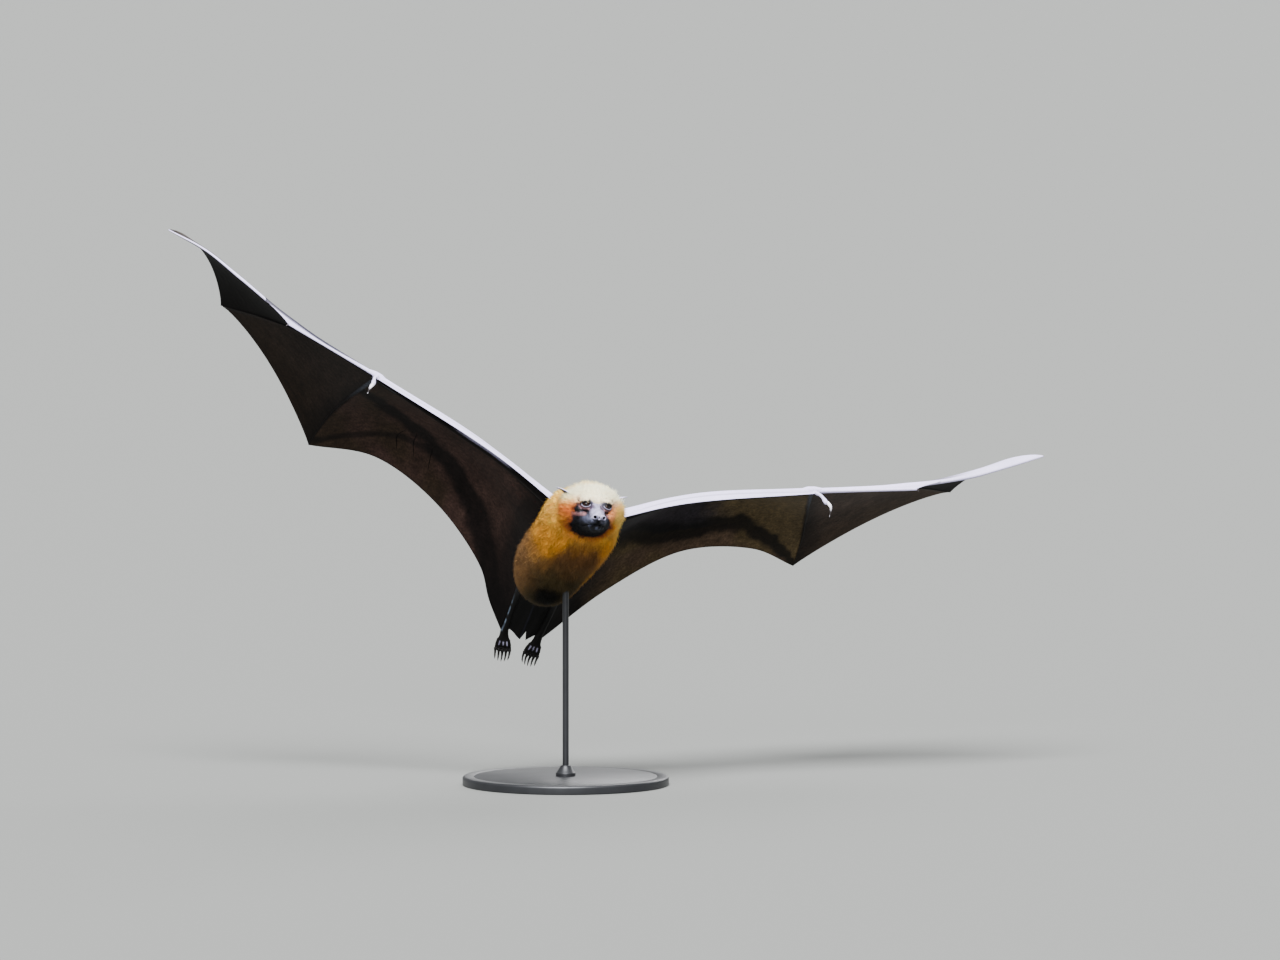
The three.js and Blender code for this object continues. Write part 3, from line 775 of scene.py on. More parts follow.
def wing_sheet(name):
    """The skin of a wing, half its thickness, how far it is over bone, and the bones' lines."""
    side, line, joints = wing_bones(name)
    girth = LIMB_GIRTH
    sheet = Sheet()

    def patch(number, grid, uv):
        marks = np.concatenate([np.full((*uv.shape[:2], 1), number), uv], -1)
        sheet.patch(grid, marks)

    # Between the fingers: the second one, how far the skin reaches on it, then its edge's hollow and rise.
    webs = {
        3: ("finger_4", 1, 20, 9 if name == "left" else 14, 20),
        4: ("finger_5", 1, 15, 6, 20),
        2: ("finger_3", WEB_REACH, 4, 0, 5),
    }
    beside = {}
    for number, (b, reach, hollow, rise, columns) in webs.items():
        a = f"finger_{number}"
        grid, uv = finger_patch(line[a], line[b], reach, hollow, rise, girth[a], girth[b], columns)
        patch(number, grid, uv)
        beside[number] = grid[:, len(CROWD)]
    # The free sides of the index finger, and of the third one past the skin between the two.
    for number, bare in ((2, SPREAD_T >= 0), (3, SPREAD_T >= 0.44)):
        a = f"finger_{number}"
        strip = bone_margin(line[a], beside[number], girth[a], SPREAD_T)[bare]
        patch(FREE_SIDE, strip, np.zeros((*strip.shape[:2], 2)))

    # The skin behind the arm, between the arm, the flank and leg, the little finger and a free edge.
    leg = LEGS[name]["joints"]
    waist = [(side * 30 - 8, 60, 4), (side * 20 - 12, 120, -2)]
    ankle = np.array(leg[2]) + [side * 3.5, 1, 0]
    flank = Line([joints["arm"][0], *waist, leg[1], ankle])
    little = line["finger_5"]
    edge = Line([ankle, *TRAILING_EDGE[name], joints["finger_5"][-1]])
    u, v = SPREAD_ARM[None, :, None], SPREAD_T[:, None, None]
    arm_points = line["arm"].at(SPREAD_ARM)[None]
    grid = mix(arm_points, edge.at(SPREAD_ARM)[None], v)
    grid = grid + mix(flank.at(SPREAD_T)[:, None], little.at(SPREAD_T)[:, None], u)
    shoulder, wrist, tip_5 = joints["arm"][0], joints["arm"][-1], joints["finger_5"][-1]
    grid = grid - mix(mix(shoulder, wrist, u), mix(ankle, tip_5, u), v)
    grid = grid + ARM_CAMBER * np.sin(np.pi * u) * np.sin(np.pi * v)
    uv = np.stack(np.broadcast_arrays(SPREAD_ARM[None], SPREAD_T[:, None]), -1)
    patch(BEHIND_ARM, grid, uv)

    # The skin ahead of the arm droops to a taut edge from the neck to the thumb.
    below_elbow = np.array(joints["upper_arm"][1]) + [0, -20, -16]
    front = Line([(side * 26, -22, -6), below_elbow, line["thumb"].at(0.3)])
    v = np.concatenate([[0, 0.12, 0.24, 0.36, 0.48], np.linspace(0.58, 0.94, 7), [0.98, 1.0]])
    drape = np.sin(np.pi * v)[:, None] * np.sin(np.pi * SPREAD_ARM)[None]
    grid = mix(arm_points, front.at(SPREAD_ARM)[None], v[:, None, None])
    grid = grid + 3 * drape[..., None] * np.array([0, -1, 1])
    patch(AHEAD_OF_ARM, grid, np.stack(np.broadcast_arrays(SPREAD_ARM[None], v[:, None]), -1))

    sheet.weld()
    height = np.where(sheet.m[:, 0] == FREE_SIDE, FREE_SIDE_HALF, MEMBRANE_HALF)
    bone_tone = np.zeros(len(sheet.p))
    thumb_root = Line(line["thumb"].at(np.linspace(0, 0.34, 8)))
    bones = [(line[bone], girths) for bone, girths in girth.items()]
    for bone, girths in [*bones, (thumb_root, THUMB_ROOT_GIRTH)]:
        ratio, radius, _ = near_bone(sheet.p, bone, girths)
        height = np.maximum(height, rounded(ratio) * radius)
        bone_tone = np.maximum(bone_tone, ease(1.5, 0.7, ratio))
    return sheet, height, bone_tone, line


# The dark band along the skin behind each arm, a painted shadow: shares of the arm's length, and how far back
# it runs there.
BAND = {
    "left": (
        [0, 0.29, 0.40, 0.51, 0.575, 0.64, 0.72, 0.79, 0.89, 0.98],
        [0.3, 0.53, 0.74, 0.806, 0.82, 0.79, 0.78, 0.85, 0.925, 0.98],
    ),
    "right": (
        [0.1, 0.22, 0.29, 0.385, 0.466, 0.56, 0.68, 0.80, 0.9, 1],
        [1.05, 0.90, 0.81, 0.73, 0.67, 0.63, 0.555, 0.45, 0.33, 0.25],
    ),
}
# Half the painted shadow band's width at the shares of the arm's length, and a fainter band of painted shadow
# on the right wing.
BAND_HALF = ([0, 0.3, 0.6, 0.85, 1.0], [0.26, 0.13, 0.09, 0.07, 0.04])
FAINT_BAND = ([0.5, 0.56, 0.68, 0.78, 0.89, 0.98], [0.66, 0.70, 0.73, 0.806, 0.872, 0.952])
# Folds in the skin behind the right arm, as shares along the arm and back from it.
CREASES = [
    [(0.696, 0.64), (0.698, 0.75), (0.68, 0.86)],
    [(0.645, 0.61), (0.63, 0.73), (0.612, 0.835)],
    [(0.563, 0.66), (0.548, 0.76), (0.545, 0.85)],
]


def paint_behind_arm(name, p, u, v, broad):
    """A black band of painted shadow divides a reddish or olive skin from a lighter strip by the free edge,
    painted light shining through the skin.
    """
    ragged = 0.07 * (cloud(p, 22, 2) - 0.5) + 0.05 * (cloud(p, 7, 12) - 0.5)
    middle = np.interp(u, *BAND[name])
    # Painted shadow: the dark band behind the arm.
    band = ease(1.4, 0.6, np.abs(v - middle + ragged) / np.interp(u, *BAND_HALF))
    # Painted light and shade: the left wing's skin is painted lighter, as lit, with its trailing strip lighter
    # still as light shining through the skin and darker again by the body; the right wing's is painted darker,
    # as in shade.
    if name == "left":
        inner = tint(shade(34, 30, 34), MEMBRANE_OLIVE * 1.7, ease(0.54, 0.7, u + ragged))
        trailing = tint(MEMBRANE_OLIVE * 1.9, MEMBRANE_BROWN * 2.2, ease(0.3, 0.7, broad))
        trailing = tint(shade(30, 27, 27), trailing, ease(0.02, 0.3, u))
    else:
        inner = tint(MEMBRANE_RED, MEMBRANE_BROWN * 0.8, ease(0.75, 0.95, u + ragged))
        trailing = tint(MEMBRANE_BROWN * 0.8, MEMBRANE_RED * 0.8, ease(0.3, 0.7, broad))
        # Painted shadow: a fainter dark band across the right wing's trailing skin.
        off_band = np.abs(v - np.interp(u, *FAINT_BAND) + 0.3 * ragged)
        trailing = tint(trailing, MEMBRANE_BLACK, 0.7 * ease(1.4, 0.5, off_band / 0.03) * ease(0.5, 0.6, u))
    base = np.where((v > middle)[:, None], trailing, inner)
    base = tint(base, MEMBRANE_BLACK, 0.9 * band)
    # Darker near the body and darkest next to the arm: dark skin there, deepened by painted shade under the
    # arm.
    base = tint(base, MEMBRANE_BLACK, 0.85 * ease(0.26, 0.08, u + ragged) * ease(0.03, 0.12, v))
    base = tint(base, SOOT, 0.85 * ease(0.10, 0.06, v))
    return tint(base, MEMBRANE_BLACK, 0.5 * ease(0.985, 1.0, v))


def paint_wing(name, sheet, bone_tone):
    """Colours of the upper and under faces of a wing."""
    kind, u, v = sheet.m.T
    p = sheet.p
    left = name == "left"
    speckle = cloud(p, 2.4, 5)
    broad = cloud(p, 30, 11)
    streak = cloud(p * [1.0, 0.18, 0.3], 4.5, 3)
    colour = np.empty_like(p)
    colour[:] = MEMBRANE_BLACK * 1.2
    arm = kind == BEHIND_ARM
    colour[arm] = paint_behind_arm(name, p, u, v, broad)[arm]
    hand = kind == 4
    # Painted light and shade: the left wing's hand skin is painted lighter, as lit, and the right's darker, as
    # in shade.
    grey = tint(MEMBRANE_GREY, MEMBRANE_BROWN * 1.1, ease(0.55, 1.0, v)) * (1.3 if left else 0.45)
    colour[hand] = tint(grey, MEMBRANE_BLACK, 0.75 * ease(0.72, 1.0, u))[hand]
    colour[kind == 3] = MEMBRANE_BLACK * (1.6 if left else 1.0)
    under = colour * ((0.6 + 0.8 * speckle) * (0.72 + 0.56 * broad) * (0.8 + 0.4 * streak))[:, None]

    # Underneath, the leading skin is painted pale as a sheen by the shoulder, and on the left hand.
    pale = LAVENDER * (0.86 + 0.14 * broad + 0.06 * speckle)[:, None]
    # Painted shade: a bone's shadow darkens the middle of the pale strip ahead of the arm.
    line_of_bone = np.where(kind == AHEAD_OF_ARM, ease(0.2, 0.08, np.abs(v - 0.5)) * ease(0.1, 0.3, u), 0)
    pale = pale * (1 - 0.3 * line_of_bone)[:, None]
    by_shoulder = ease(0.0, 0.1, v - mix(0.42, 0.12, ease(0.05, 0.45, u))) * ease(0.62, 0.5, u)
    on_third = np.where(kind == 3, ease(1.0, 0.6, u / 0.035) * bone_tone, 0)
    fingers = np.where((kind == 2) | (kind == FREE_SIDE), 1.0, on_third)
    light = np.where(kind == AHEAD_OF_ARM, by_shoulder, fingers * (1.0 if left else 0.0))
    light = np.clip(light, 0, 1)
    under = tint(under, pale, light)
    # Painted sheen: a bluish grey over the bones underneath, fading away from their roots.
    ridge = np.where((kind == 4) | (arm & (u > 0.9)) | ((kind == 3) & (u > 0.5)), bone_tone, 0)
    out = ease(0.05, 0.5, v)
    over_bone = tint(shade(62, 66, 76), MEMBRANE_BLACK * 1.2, out)
    under = tint(under, over_bone, ridge * 0.75)

    upper = tint(MEMBRANE_BLACK * 1.6, MEMBRANE_BROWN * 0.9, 0.8 * broad) * (0.7 + 0.6 * speckle)[:, None]
    # Painted sheen: the upper face is lighter over the bones.
    upper = tint(upper, SLATE * 0.7, 0.6 * bone_tone)
    # Painted sheen: the upper face is pale ahead of the arm, on the fingers' free sides, behind the index
    # finger, in a thin strip along the arm, and at the left wing's tip.
    tip_light = np.where(kind == 3, ease(0.5, 0.8, v) * ease(0.8, 0.25, u) + ease(0.3, 0.1, u), 0)
    between = 1.0 if left else ease(0.85, 0.6, u)
    front = np.where((kind == AHEAD_OF_ARM) | (kind == FREE_SIDE), 1.0, 0) + np.where(kind == 2, between, 0)
    front = front + np.where(arm, ease(0.09, 0.03, v), 0) + (tip_light if left else 0)
    front = np.clip(front, 0, 1)
    upper = tint(upper, pale, front)
    rough = 1 - 0.85 * np.concatenate([front, light])
    return np.hstack([np.vstack([upper, under]), rough[:, None]])


def wing_creases(shape, sheet):
    """Short curved folds in the skin behind the right arm, painted near black as the shade in them."""
    for crease in CREASES:
        places = []
        for u, v in crease:
            elsewhere = sheet.m[:, 0] != BEHIND_ARM
            k = (np.hypot(sheet.m[:, 1] - u, sheet.m[:, 2] - v) + 10 * elsewhere).argmin()
            places.append(sheet.p[k] - 0.3 * sheet.normal[k])
        points, triangles, quads, _ = tube(places, [0.15, 0.5, 0.5, 0.15], 8, 24, flat=0.6)
        # Painted shade in the fold.
        paint = np.broadcast_to(MEMBRANE_BLACK * 0.6, points.shape)
        shape.add(points, with_grain(paint, 0.3), triangles, quads)


def build_wing(name):
    side = SIDES[name]
    sheet, height, bone_tone, line = wing_sheet(name)
    points, triangles, quads = sheet.closed(height)
    shape = Shape()
    shape.add(points, paint_wing(name, sheet, bone_tone), triangles, quads)
    thumb = line["thumb"]
    points, triangles, quads, share = tube(thumb.at(np.linspace(0, 1, 12)), THUMB_GIRTH, 18, 40)
    ring = 0.5 + 0.5 * np.sin(share * 60)
    points += unit(points - thumb.at(share)) * (0.05 * ring * ease(0.2, 0.5, share))[:, None]
    # Painted sheen: the thumb is pale lavender.
    paint = LAVENDER * (0.85 + 0.15 * cloud(points, 2.5, 4))[:, None]
    shape.add(points, with_grain(paint, 0.2), triangles, quads)
    # The wrist swells where the thumb and fingers meet.
    knob = [line["arm"].at(0.955), line["arm"].at(0.985), line["finger_2"].at(0.03), line["finger_2"].at(0.1)]
    knob = np.array(knob) + 1.3 * np.array([-0.3, -0.5, 0.8])
    points, triangles, quads, _ = tube(knob, WRIST_GIRTH, 20, 24)
    # Painted sheen: the wrist's swelling is pale lavender too.
    paint = LAVENDER * (0.9 + 0.1 * cloud(points, 4, 4))[:, None]
    shape.add(points, with_grain(paint, 0.2), triangles, quads)
    if name == "right":
        wing_creases(shape, sheet)
    wing = shape.make(f"wing_skin_{name}", MEMBRANE_SKIN)
    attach(wing, "root")
    parts = ["upper_arm", "forearm", "thumb", "finger_2", "finger_3", "finger_4", "finger_5"]
    parts += ["front_membrane", "arm_membrane", "membrane_2_3", "membrane_3_4", "membrane_4_5"]
    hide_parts(*[f"{part}_{name}" for part in parts])

    horn = Shape()
    claw = line["claw"].at(np.linspace(0, 1, 14))
    points, triangles, quads, share = tube(claw, THUMB_CLAW_GIRTH, 18, 30, flat=1.3)
    # Pale with a dark band, and lighter again at the very tip as a painted highlight.
    dark = ease(0.45, 0.66, share) * ease(0.98, 0.84, share)
    horn.add(points, tint(shade(222, 218, 230), shade(56, 50, 52), dark), triangles, quads)
    index = line["finger_2"]
    nail = [index.at(0.97), index.at(1.0), index.at(1.0) + [side * 2.5, 0.5, -2.5]]
    points, triangles, quads, _ = tube(nail, [1.1, 1.0, 0.25], 12, 14)
    horn.add(points, shade(60, 54, 58), triangles, quads)
    claw = horn.make(f"wing_claws_{name}", HORN)
    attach(claw, "root")
    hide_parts(f"thumb_claw_{name}")


# ---- Head and body ----
# Skin sections under the coat: distance, half width, half height, rise, sway.
TRUNK_SKIN = [
    (-52, 24, 21, -9, 1), (-34, 33, 26, -7, 0), (-15, 38.5, 31.5, -4, -2), (5, 41, 33.5, -7, -2),
    (30, 41, 35, -10, -4), (60, 40.5, 36, -12, -9), (90, 38, 35, -13, -12), (117, 33, 32, -13, -12),
    (139, 25.5, 23.5, -12, -10), (155, 15, 13, -10, -9), (162, 6, 5, -9, -9),
]
HEAD_SKIN = [
    (-24, 16, 13, -3, 1), (-19, 24, 20, -3, 1), (-10, 31, 25, -4, 2), (3, 33, 25.5, -4.5, 1.2),
    (11, 28.5, 22.5, -4, 0.5), (18, 19.5, 17.0, -3.5), (24, 13.5, 12.5, -4.2), (31, 9.8, 9.4, -5.8),
    (37, 8.2, 7.4, -6.6), (41, 6.4, 5.6, -6.6),
]


def eye_frame(side):
    """The place of an eye in the head, and its directions away from the nose, up, and the way it looks."""
    gaze = unit(np.array(EYE["gaze"]) * [side, 1, 1])
    up = np.array([side * 0.1, 0.1, 1.0])
    up = unit(up - gaze * (up @ gaze))
    out = np.cross(gaze, up)
    return np.array(EYE["place"]) * [side, 1, 1], out * side * np.sign(out[0]), up, gaze


def nostril(side):
    """The mouth of a nostril, and the way it faces."""
    return np.array(NOSTRIL["mouth"]) * [side, 1, 1], unit(np.array(NOSTRIL["facing"]) * [side, 1, 1])


def almond(share, half_width, half_height):
    """The rim of an eye's opening, from its inner corner over the top and back underneath."""
    a = share * 2 * np.pi
    x = -np.cos(a) * half_width
    return x, np.sin(a) * half_height * (1 - 0.18 * (x / half_width) ** 2)


def on_eye(side, x, y, radius):
    """A point over the eyeball, x outwards from the nose and y up."""
    centre, out, up, gaze = eye_frame(side)
    flat = np.hypot(x, y)
    deep = np.sqrt(np.maximum(radius**2 - flat**2, 0))
    return centre + np.multiply.outer(x, out) + np.multiply.outer(y, up) + np.multiply.outer(deep, gaze)


def sculpt_face(clay):
    """Jaw, cheeks, nose, nostrils, mouth and the flesh round the eyes, all placed in the head's frame."""

    def add(volume, centre, reach, soft):
        c = from_head(np.array(centre, float))
        clay.add(volume, c - reach, c + reach, soft, to_head)

    def cut(volume, centre, reach, soft):
        c = from_head(np.array(centre, float))
        clay.cut(volume, c - reach, c + reach, soft, to_head)

    def engrave(beside, width, depth, centre, reach, soft):
        c = from_head(np.array(centre, float))
        clay.engrave(beside, width, depth, c - reach, c + reach, soft, to_head)

    # Jaw, throat and cheeks.
    add(ball((0, -14, -12.5), (20, 16, 16)), (0, -15, -12), 30, 6)
    add(ball((0, -27, -15), (11.5, 11, 8.5)), (0, -27, -14), 22, 5)
    add(rod((0, -28, -15.5), (0, -37.6, -15.6), 7.0, 3.9), (0, -33, -14), 20, 2.5)
    add(ball((0, -36.2, -15.6), (5.0, 3.4, 2.4)), (0, -37, -15), 12, 3.0)
    for side in (-1, 1):
        add(ball((side * 14.5, -13, -6), (9.5, 12, 10)), (side * 15, -13, -5), 20, 5)
        # The fold that runs out from under the eye, and the pads of the upper lip.
        add(rod((side * 9.5, -27.5, -5.6), (side * 21, -17, -7.4), 2.0, 2.4), (side * 15, -22, -6), 16, 1.6)
        add(rod((side * 3.9, -40.6, -9.6), (side * 8.6, -28, -9.4), 4.3, 4.4), (side * 7, -34, -10), 18, 1.6)
        add(rod((side * 5.5, -23.0, 9.6), (side * 15.0, -18.5, 9.0), 1.9, 1.9), (side * 11, -20, 10), 14, 3)
    # Bridge and tip of the nose.
    add(rod((0, -22, 3.4), (0, -41, -2.9), 4.3, 3.5), (0, -32, 0), 20, 2.5)
    add(ball((0, -41.6, -5.6), (5.9, 3.8, 3.8)), (0, -42, -5), 10, 1.6)
    for side in (-1, 1):
        centre, out, up, gaze = eye_frame(side)
        # Hollows before and under the eye, then the socket, its lids and the almond opening between them.
        cut(ball(centre + [side * -5.6, -6.6, -2.5], (2.6, 4.0, 3.2)), centre, 12, 2.5)
        cut(ball(centre + [side * 3.0, -5.5, -7.2], (8.0, 3.6, 1.7)), centre, 15, 2)
        add(ball(centre, 6.7), centre, 12, 1.4)
        x, y = almond(np.linspace(0, 1, 41), *EYE["opening"])
        rim = on_eye(side, x, y, 6.5)

        def hole(p):
            q = p - centre
            a, b, g = q @ out / 4.6, q @ up, q @ gaze
            limit = 2.7 * np.sqrt(np.clip(1 - a**2, 0, 1)) * (1 - 0.1 * a**2)
            return np.maximum(np.maximum(np.abs(b) - limit, (np.abs(a) - 1) * 4.6), 2.0 - g)

        cut(hole, centre, 12, 0.35)
        swell = np.abs(np.sin(np.linspace(0, 2 * np.pi, 41)))
        add(chain(rim[:21], 0.5 + 0.5 * swell[:21]), centre, 12, 0.35)
        add(chain(rim[20:], 0.34 + 0.08 * swell[20:]), centre, 12, 0.35)
        # A crease over the upper lid and two under the lower one.
        for lift_by, wide in ((4.9, 5.6), (-4.7, 5.4), (-6.3, 6.0)):
            a = np.linspace(-0.85, 0.85, 13)
            line = on_eye(side, a * wide, lift_by * np.sqrt(1 - a**2 * 0.6), 7.4)
            engrave(chain(line, 0.0), 0.35, 0.5, centre, 12, 0.5)
        # Nostril: a short flared tube with a thin rim and a deep hole.
        mouth, facing = nostril(side)
        add(rod((side * 2.8, -39.5, -5.2), mouth, 3.0, 2.95), mouth, 12, 1.0)
        u1 = unit(np.cross(facing, [0, 0, 1.0]))
        u2 = np.cross(u1, facing)
        around = np.linspace(0, 2 * np.pi, 25)[:, None]
        ring = mouth + facing * 1.5 + 2.4 * (np.cos(around) * u1 + 0.94 * np.sin(around) * u2)
        add(chain(ring, 0.42), mouth, 8, 0.5)
        cut(rod(mouth + facing * 4, mouth - facing * 5, 2.0, 1.3), mouth, 9, 0.7)
        # A groove curls from beside the nostril to the lip.
        groove = Line([(side * 8.2, -43, -3.2), (side * 8.0, -42.5, -6.5), (side * 6.6, -44.0, -9.0)])
        engrave(chain(groove.at(np.linspace(0, 1, 9)), 0.0), 0.5, 0.8, mouth, 10, 0.8)

    def mouth_line(p):
        ahead = -p[..., 1]
        level = np.interp(ahead, [20, 26, 32, 38, 43, 46], [-20.5, -18.2, -16.2, -14.5, -13.4, -12.4])
        return np.abs(p[..., 2] - level) + 3 * ease(24, 20, ahead)

    engrave(mouth_line, 0.42, 1.5, (0, -33, -13), 17, 0.7)
    engrave(lambda p: np.abs(p[..., 0]) + ease(-9.0, -7.0, p[..., 2]), 0.38, 1.2, (0, -45, -10.5), 3.2, 0.5)
    cut(rod((0, -49.3, -1.8), (0, -46.9, -7.6), 1.15, 0.9), (0, -48, -5), 8, 0.8)
    add(ball((0, -45.9, -6.8), (0.6, 0.8, 0.9)), (0, -46, -7), 4, 0.5)
    # Creases across the bridge and down the cheeks.
    for level in (-1.0, 1.4, 3.8):
        place = np.array([0, -33 - 2.2 * (1.4 - level), level + 2.8])
        a = np.linspace(-1, 1, 9)[:, None]
        line = place + a * [5.5, 0, 0] + (a**2) * [0, 1.8, -2.6]
        engrave(chain(line, 0.0), 0.25, 0.3, place, 9, 0.6)


def ear_shape(side):
    """A thin pointed ear, hollow in front, as points and faces in the head's frame."""
    root = np.array([side * 22, 3, 7.5])
    tip = np.array([side * 41.5, 10, 15.5 if side < 0 else 14])
    line = Line([root - [side * 8, 3, 2], root, (root + tip) / 2 + [side * -0.5, -1.2, 2.0], tip])
    t = np.linspace(0, 1, 34)
    w = np.linspace(-1, 1, 19)
    centre = line.at(t)
    along = unit(np.gradient(centre, axis=0))
    over = unit(np.array([side * -0.1, 0.45, 1.0]))
    over = unit(over - along * (along @ over)[:, None])
    across = np.cross(along, over)
    half = np.interp(t, [0, 0.2, 0.4, 0.6, 0.8, 0.93, 1], [6.6, 7.4, 7.2, 5.7, 3.2, 1.3, 0.25])[:, None, None]
    cup = np.interp(t, [0, 0.3, 0.7, 1], [0.8, 0.62, 0.4, 0.2])[:, None, None]
    angle = (w * 1.25)[None, :, None]
    middle = centre[:, None] + half * np.sin(angle) / np.sin(1.25) * across[:, None]
    middle = middle + half * cup * (1 - np.cos(angle)) * -over[:, None]
    outward = unit(over[:, None] * np.cos(angle) + across[:, None] * np.sin(angle) * cup)
    to_rim = np.sqrt(np.clip(1.02 - w**2, 0.02, 1))[None, :, None]
    thick = 0.42 * to_rim * np.interp(t, [0, 0.9, 1], [1, 0.8, 0.3])[:, None, None]
    rows, columns = len(t), len(w)
    top, bottom = (middle + outward * thick).reshape(-1, 3), (middle - outward * thick).reshape(-1, 3)
    quads = grid_quads(rows, columns)
    n = rows * columns
    index = np.arange(n).reshape(rows, columns)
    rim = np.concatenate([index[0, :], index[1:, -1], index[-1, -2::-1], index[-2:0:-1, 0]])
    beside = np.roll(rim, -1)
    walls = np.stack([beside, rim, rim + n, beside + n], -1)
    faces = np.vstack([quads, quads[:, ::-1] + n, walls])
    points = np.vstack([top, bottom])
    p = points[quads]
    if (np.cross(p[:, 2] - p[:, 0], p[:, 3] - p[:, 1]) @ over.mean(0)).sum() < 0:
        faces = faces[:, ::-1]
    share = np.concatenate([np.repeat(t, columns)] * 2)
    inner = np.concatenate([np.zeros(n), np.ones(n)])
    # Painted sheen and shadow: one face is pale lilac to lavender as sheen, the other dark slate as the shade
    # inside the ear.
    colour = tint(LILAC_GREY * 1.1, LAVENDER, ease(0.3, 0.8, share))
    colour = tint(colour, tint(SLATE * 0.35, SLATE * 0.8, share), inner)
    return points, faces, colour


def head_colour(h):
    """Where the mask is, and the colour of the coat round it, at points in the head's frame."""
    x, s, z = h[:, 0], -h[:, 1], h[:, 2]
    noise = cloud(h, 5, 21) - 0.5
    fine = cloud(h, 1.6, 22) - 0.5
    # The mask: face, jaw and throat.
    reach = np.interp(z, [-30, -18, -13, -6, -1, 4, 9], [19, 22.5, 19.5, 15.5, 16, 22, 23])
    reach = np.where(x < 0, np.interp(z, [-1, 5, 10], [24.5, 20.5, 20]), reach)
    wide = (np.abs((x + 0.5) / reach) ** 2.6 + np.abs((z + 11) / 25.5) ** 2.6) ** (1 / 2.6)
    wide = wide + 0.14 * noise + 0.12 * fine
    top_line = mix(7.6, 10.8, ease(2, 8, np.abs(x)))
    top = ease(top_line + 0.9, top_line - 0.9, z + 0.5 * noise - 0.1 * np.maximum(np.abs(x) - 15, 0) * 5)
    deep = ease(5, 13, s + 3 * noise + 12 * ease(-8, -22, z))
    mask = np.clip(ease(1.2, 0.8, wide) * top * deep, 0, 1)
    mask = np.maximum(mask, ease(27, 31, s))
    wide_eye, high_eye = EYE["opening"]
    for eye in (-1, 1):
        centre, out, up_eye, _ = eye_frame(eye)
        q = h - centre
        lid = np.hypot(q @ out / wide_eye, q @ up_eye / high_eye)
        mask = np.maximum(mask, ease(1.6, 1.3, lid + 0.2 * fine) * ease(11, 8.5, np.linalg.norm(q, axis=1)))
    # The coat round it: cream crown, paled further as a painted highlight from above, gold sides, amber and
    # rust next to the mask.
    ring = np.clip((wide - 0.86) / 0.8, 0, 1)
    up = ease(-2, 13, z - 0.1 * s + 3 * noise)
    side = tint(RUST * 0.3, RUST * 0.9, ease(0.0, 0.16, ring))
    side = tint(side, AMBER, ease(0.1, 0.28, ring))
    side = tint(side, GOLD, ease(0.22, 0.5, ring))
    # Painted light: on the bat's left the pale gold reaches further down the cheek.
    side = tint(side, PALE_GOLD, ease(0.35, 0.85, ring) * np.where(x > 0, ease(-42, -18, z), ease(-30, 6, z)))
    # Painted shade: darker under the chin.
    below = ease(-30, -42, z) * ease(24, 8, np.abs(x + 2))
    side = tint(side, TAN * 0.6, 0.75 * below)
    coat = tint(side, CREAM, up)
    rust_patch = np.hypot((x + 28.5) / 6.5, (z + 5) / 7.5)
    coat = tint(coat, RUST, 0.8 * ease(1.4, 0.4, rust_patch + 0.4 * noise) * ease(-8, 2, s))
    # Painted light: a peach glow on the bat's left cheek.
    far_cheek = np.hypot((x - 18) / 6, (z + 3) / 9)
    peach = shade(240, 160, 110)
    coat = tint(coat, peach, 0.8 * ease(1.4, 0.5, far_cheek + 0.3 * noise) * ease(4, 12, s))
    coat = tint(coat, PALE_GOLD, 0.6 * ease(2, -18, s) * ease(20, 6, z))
    return mask, coat


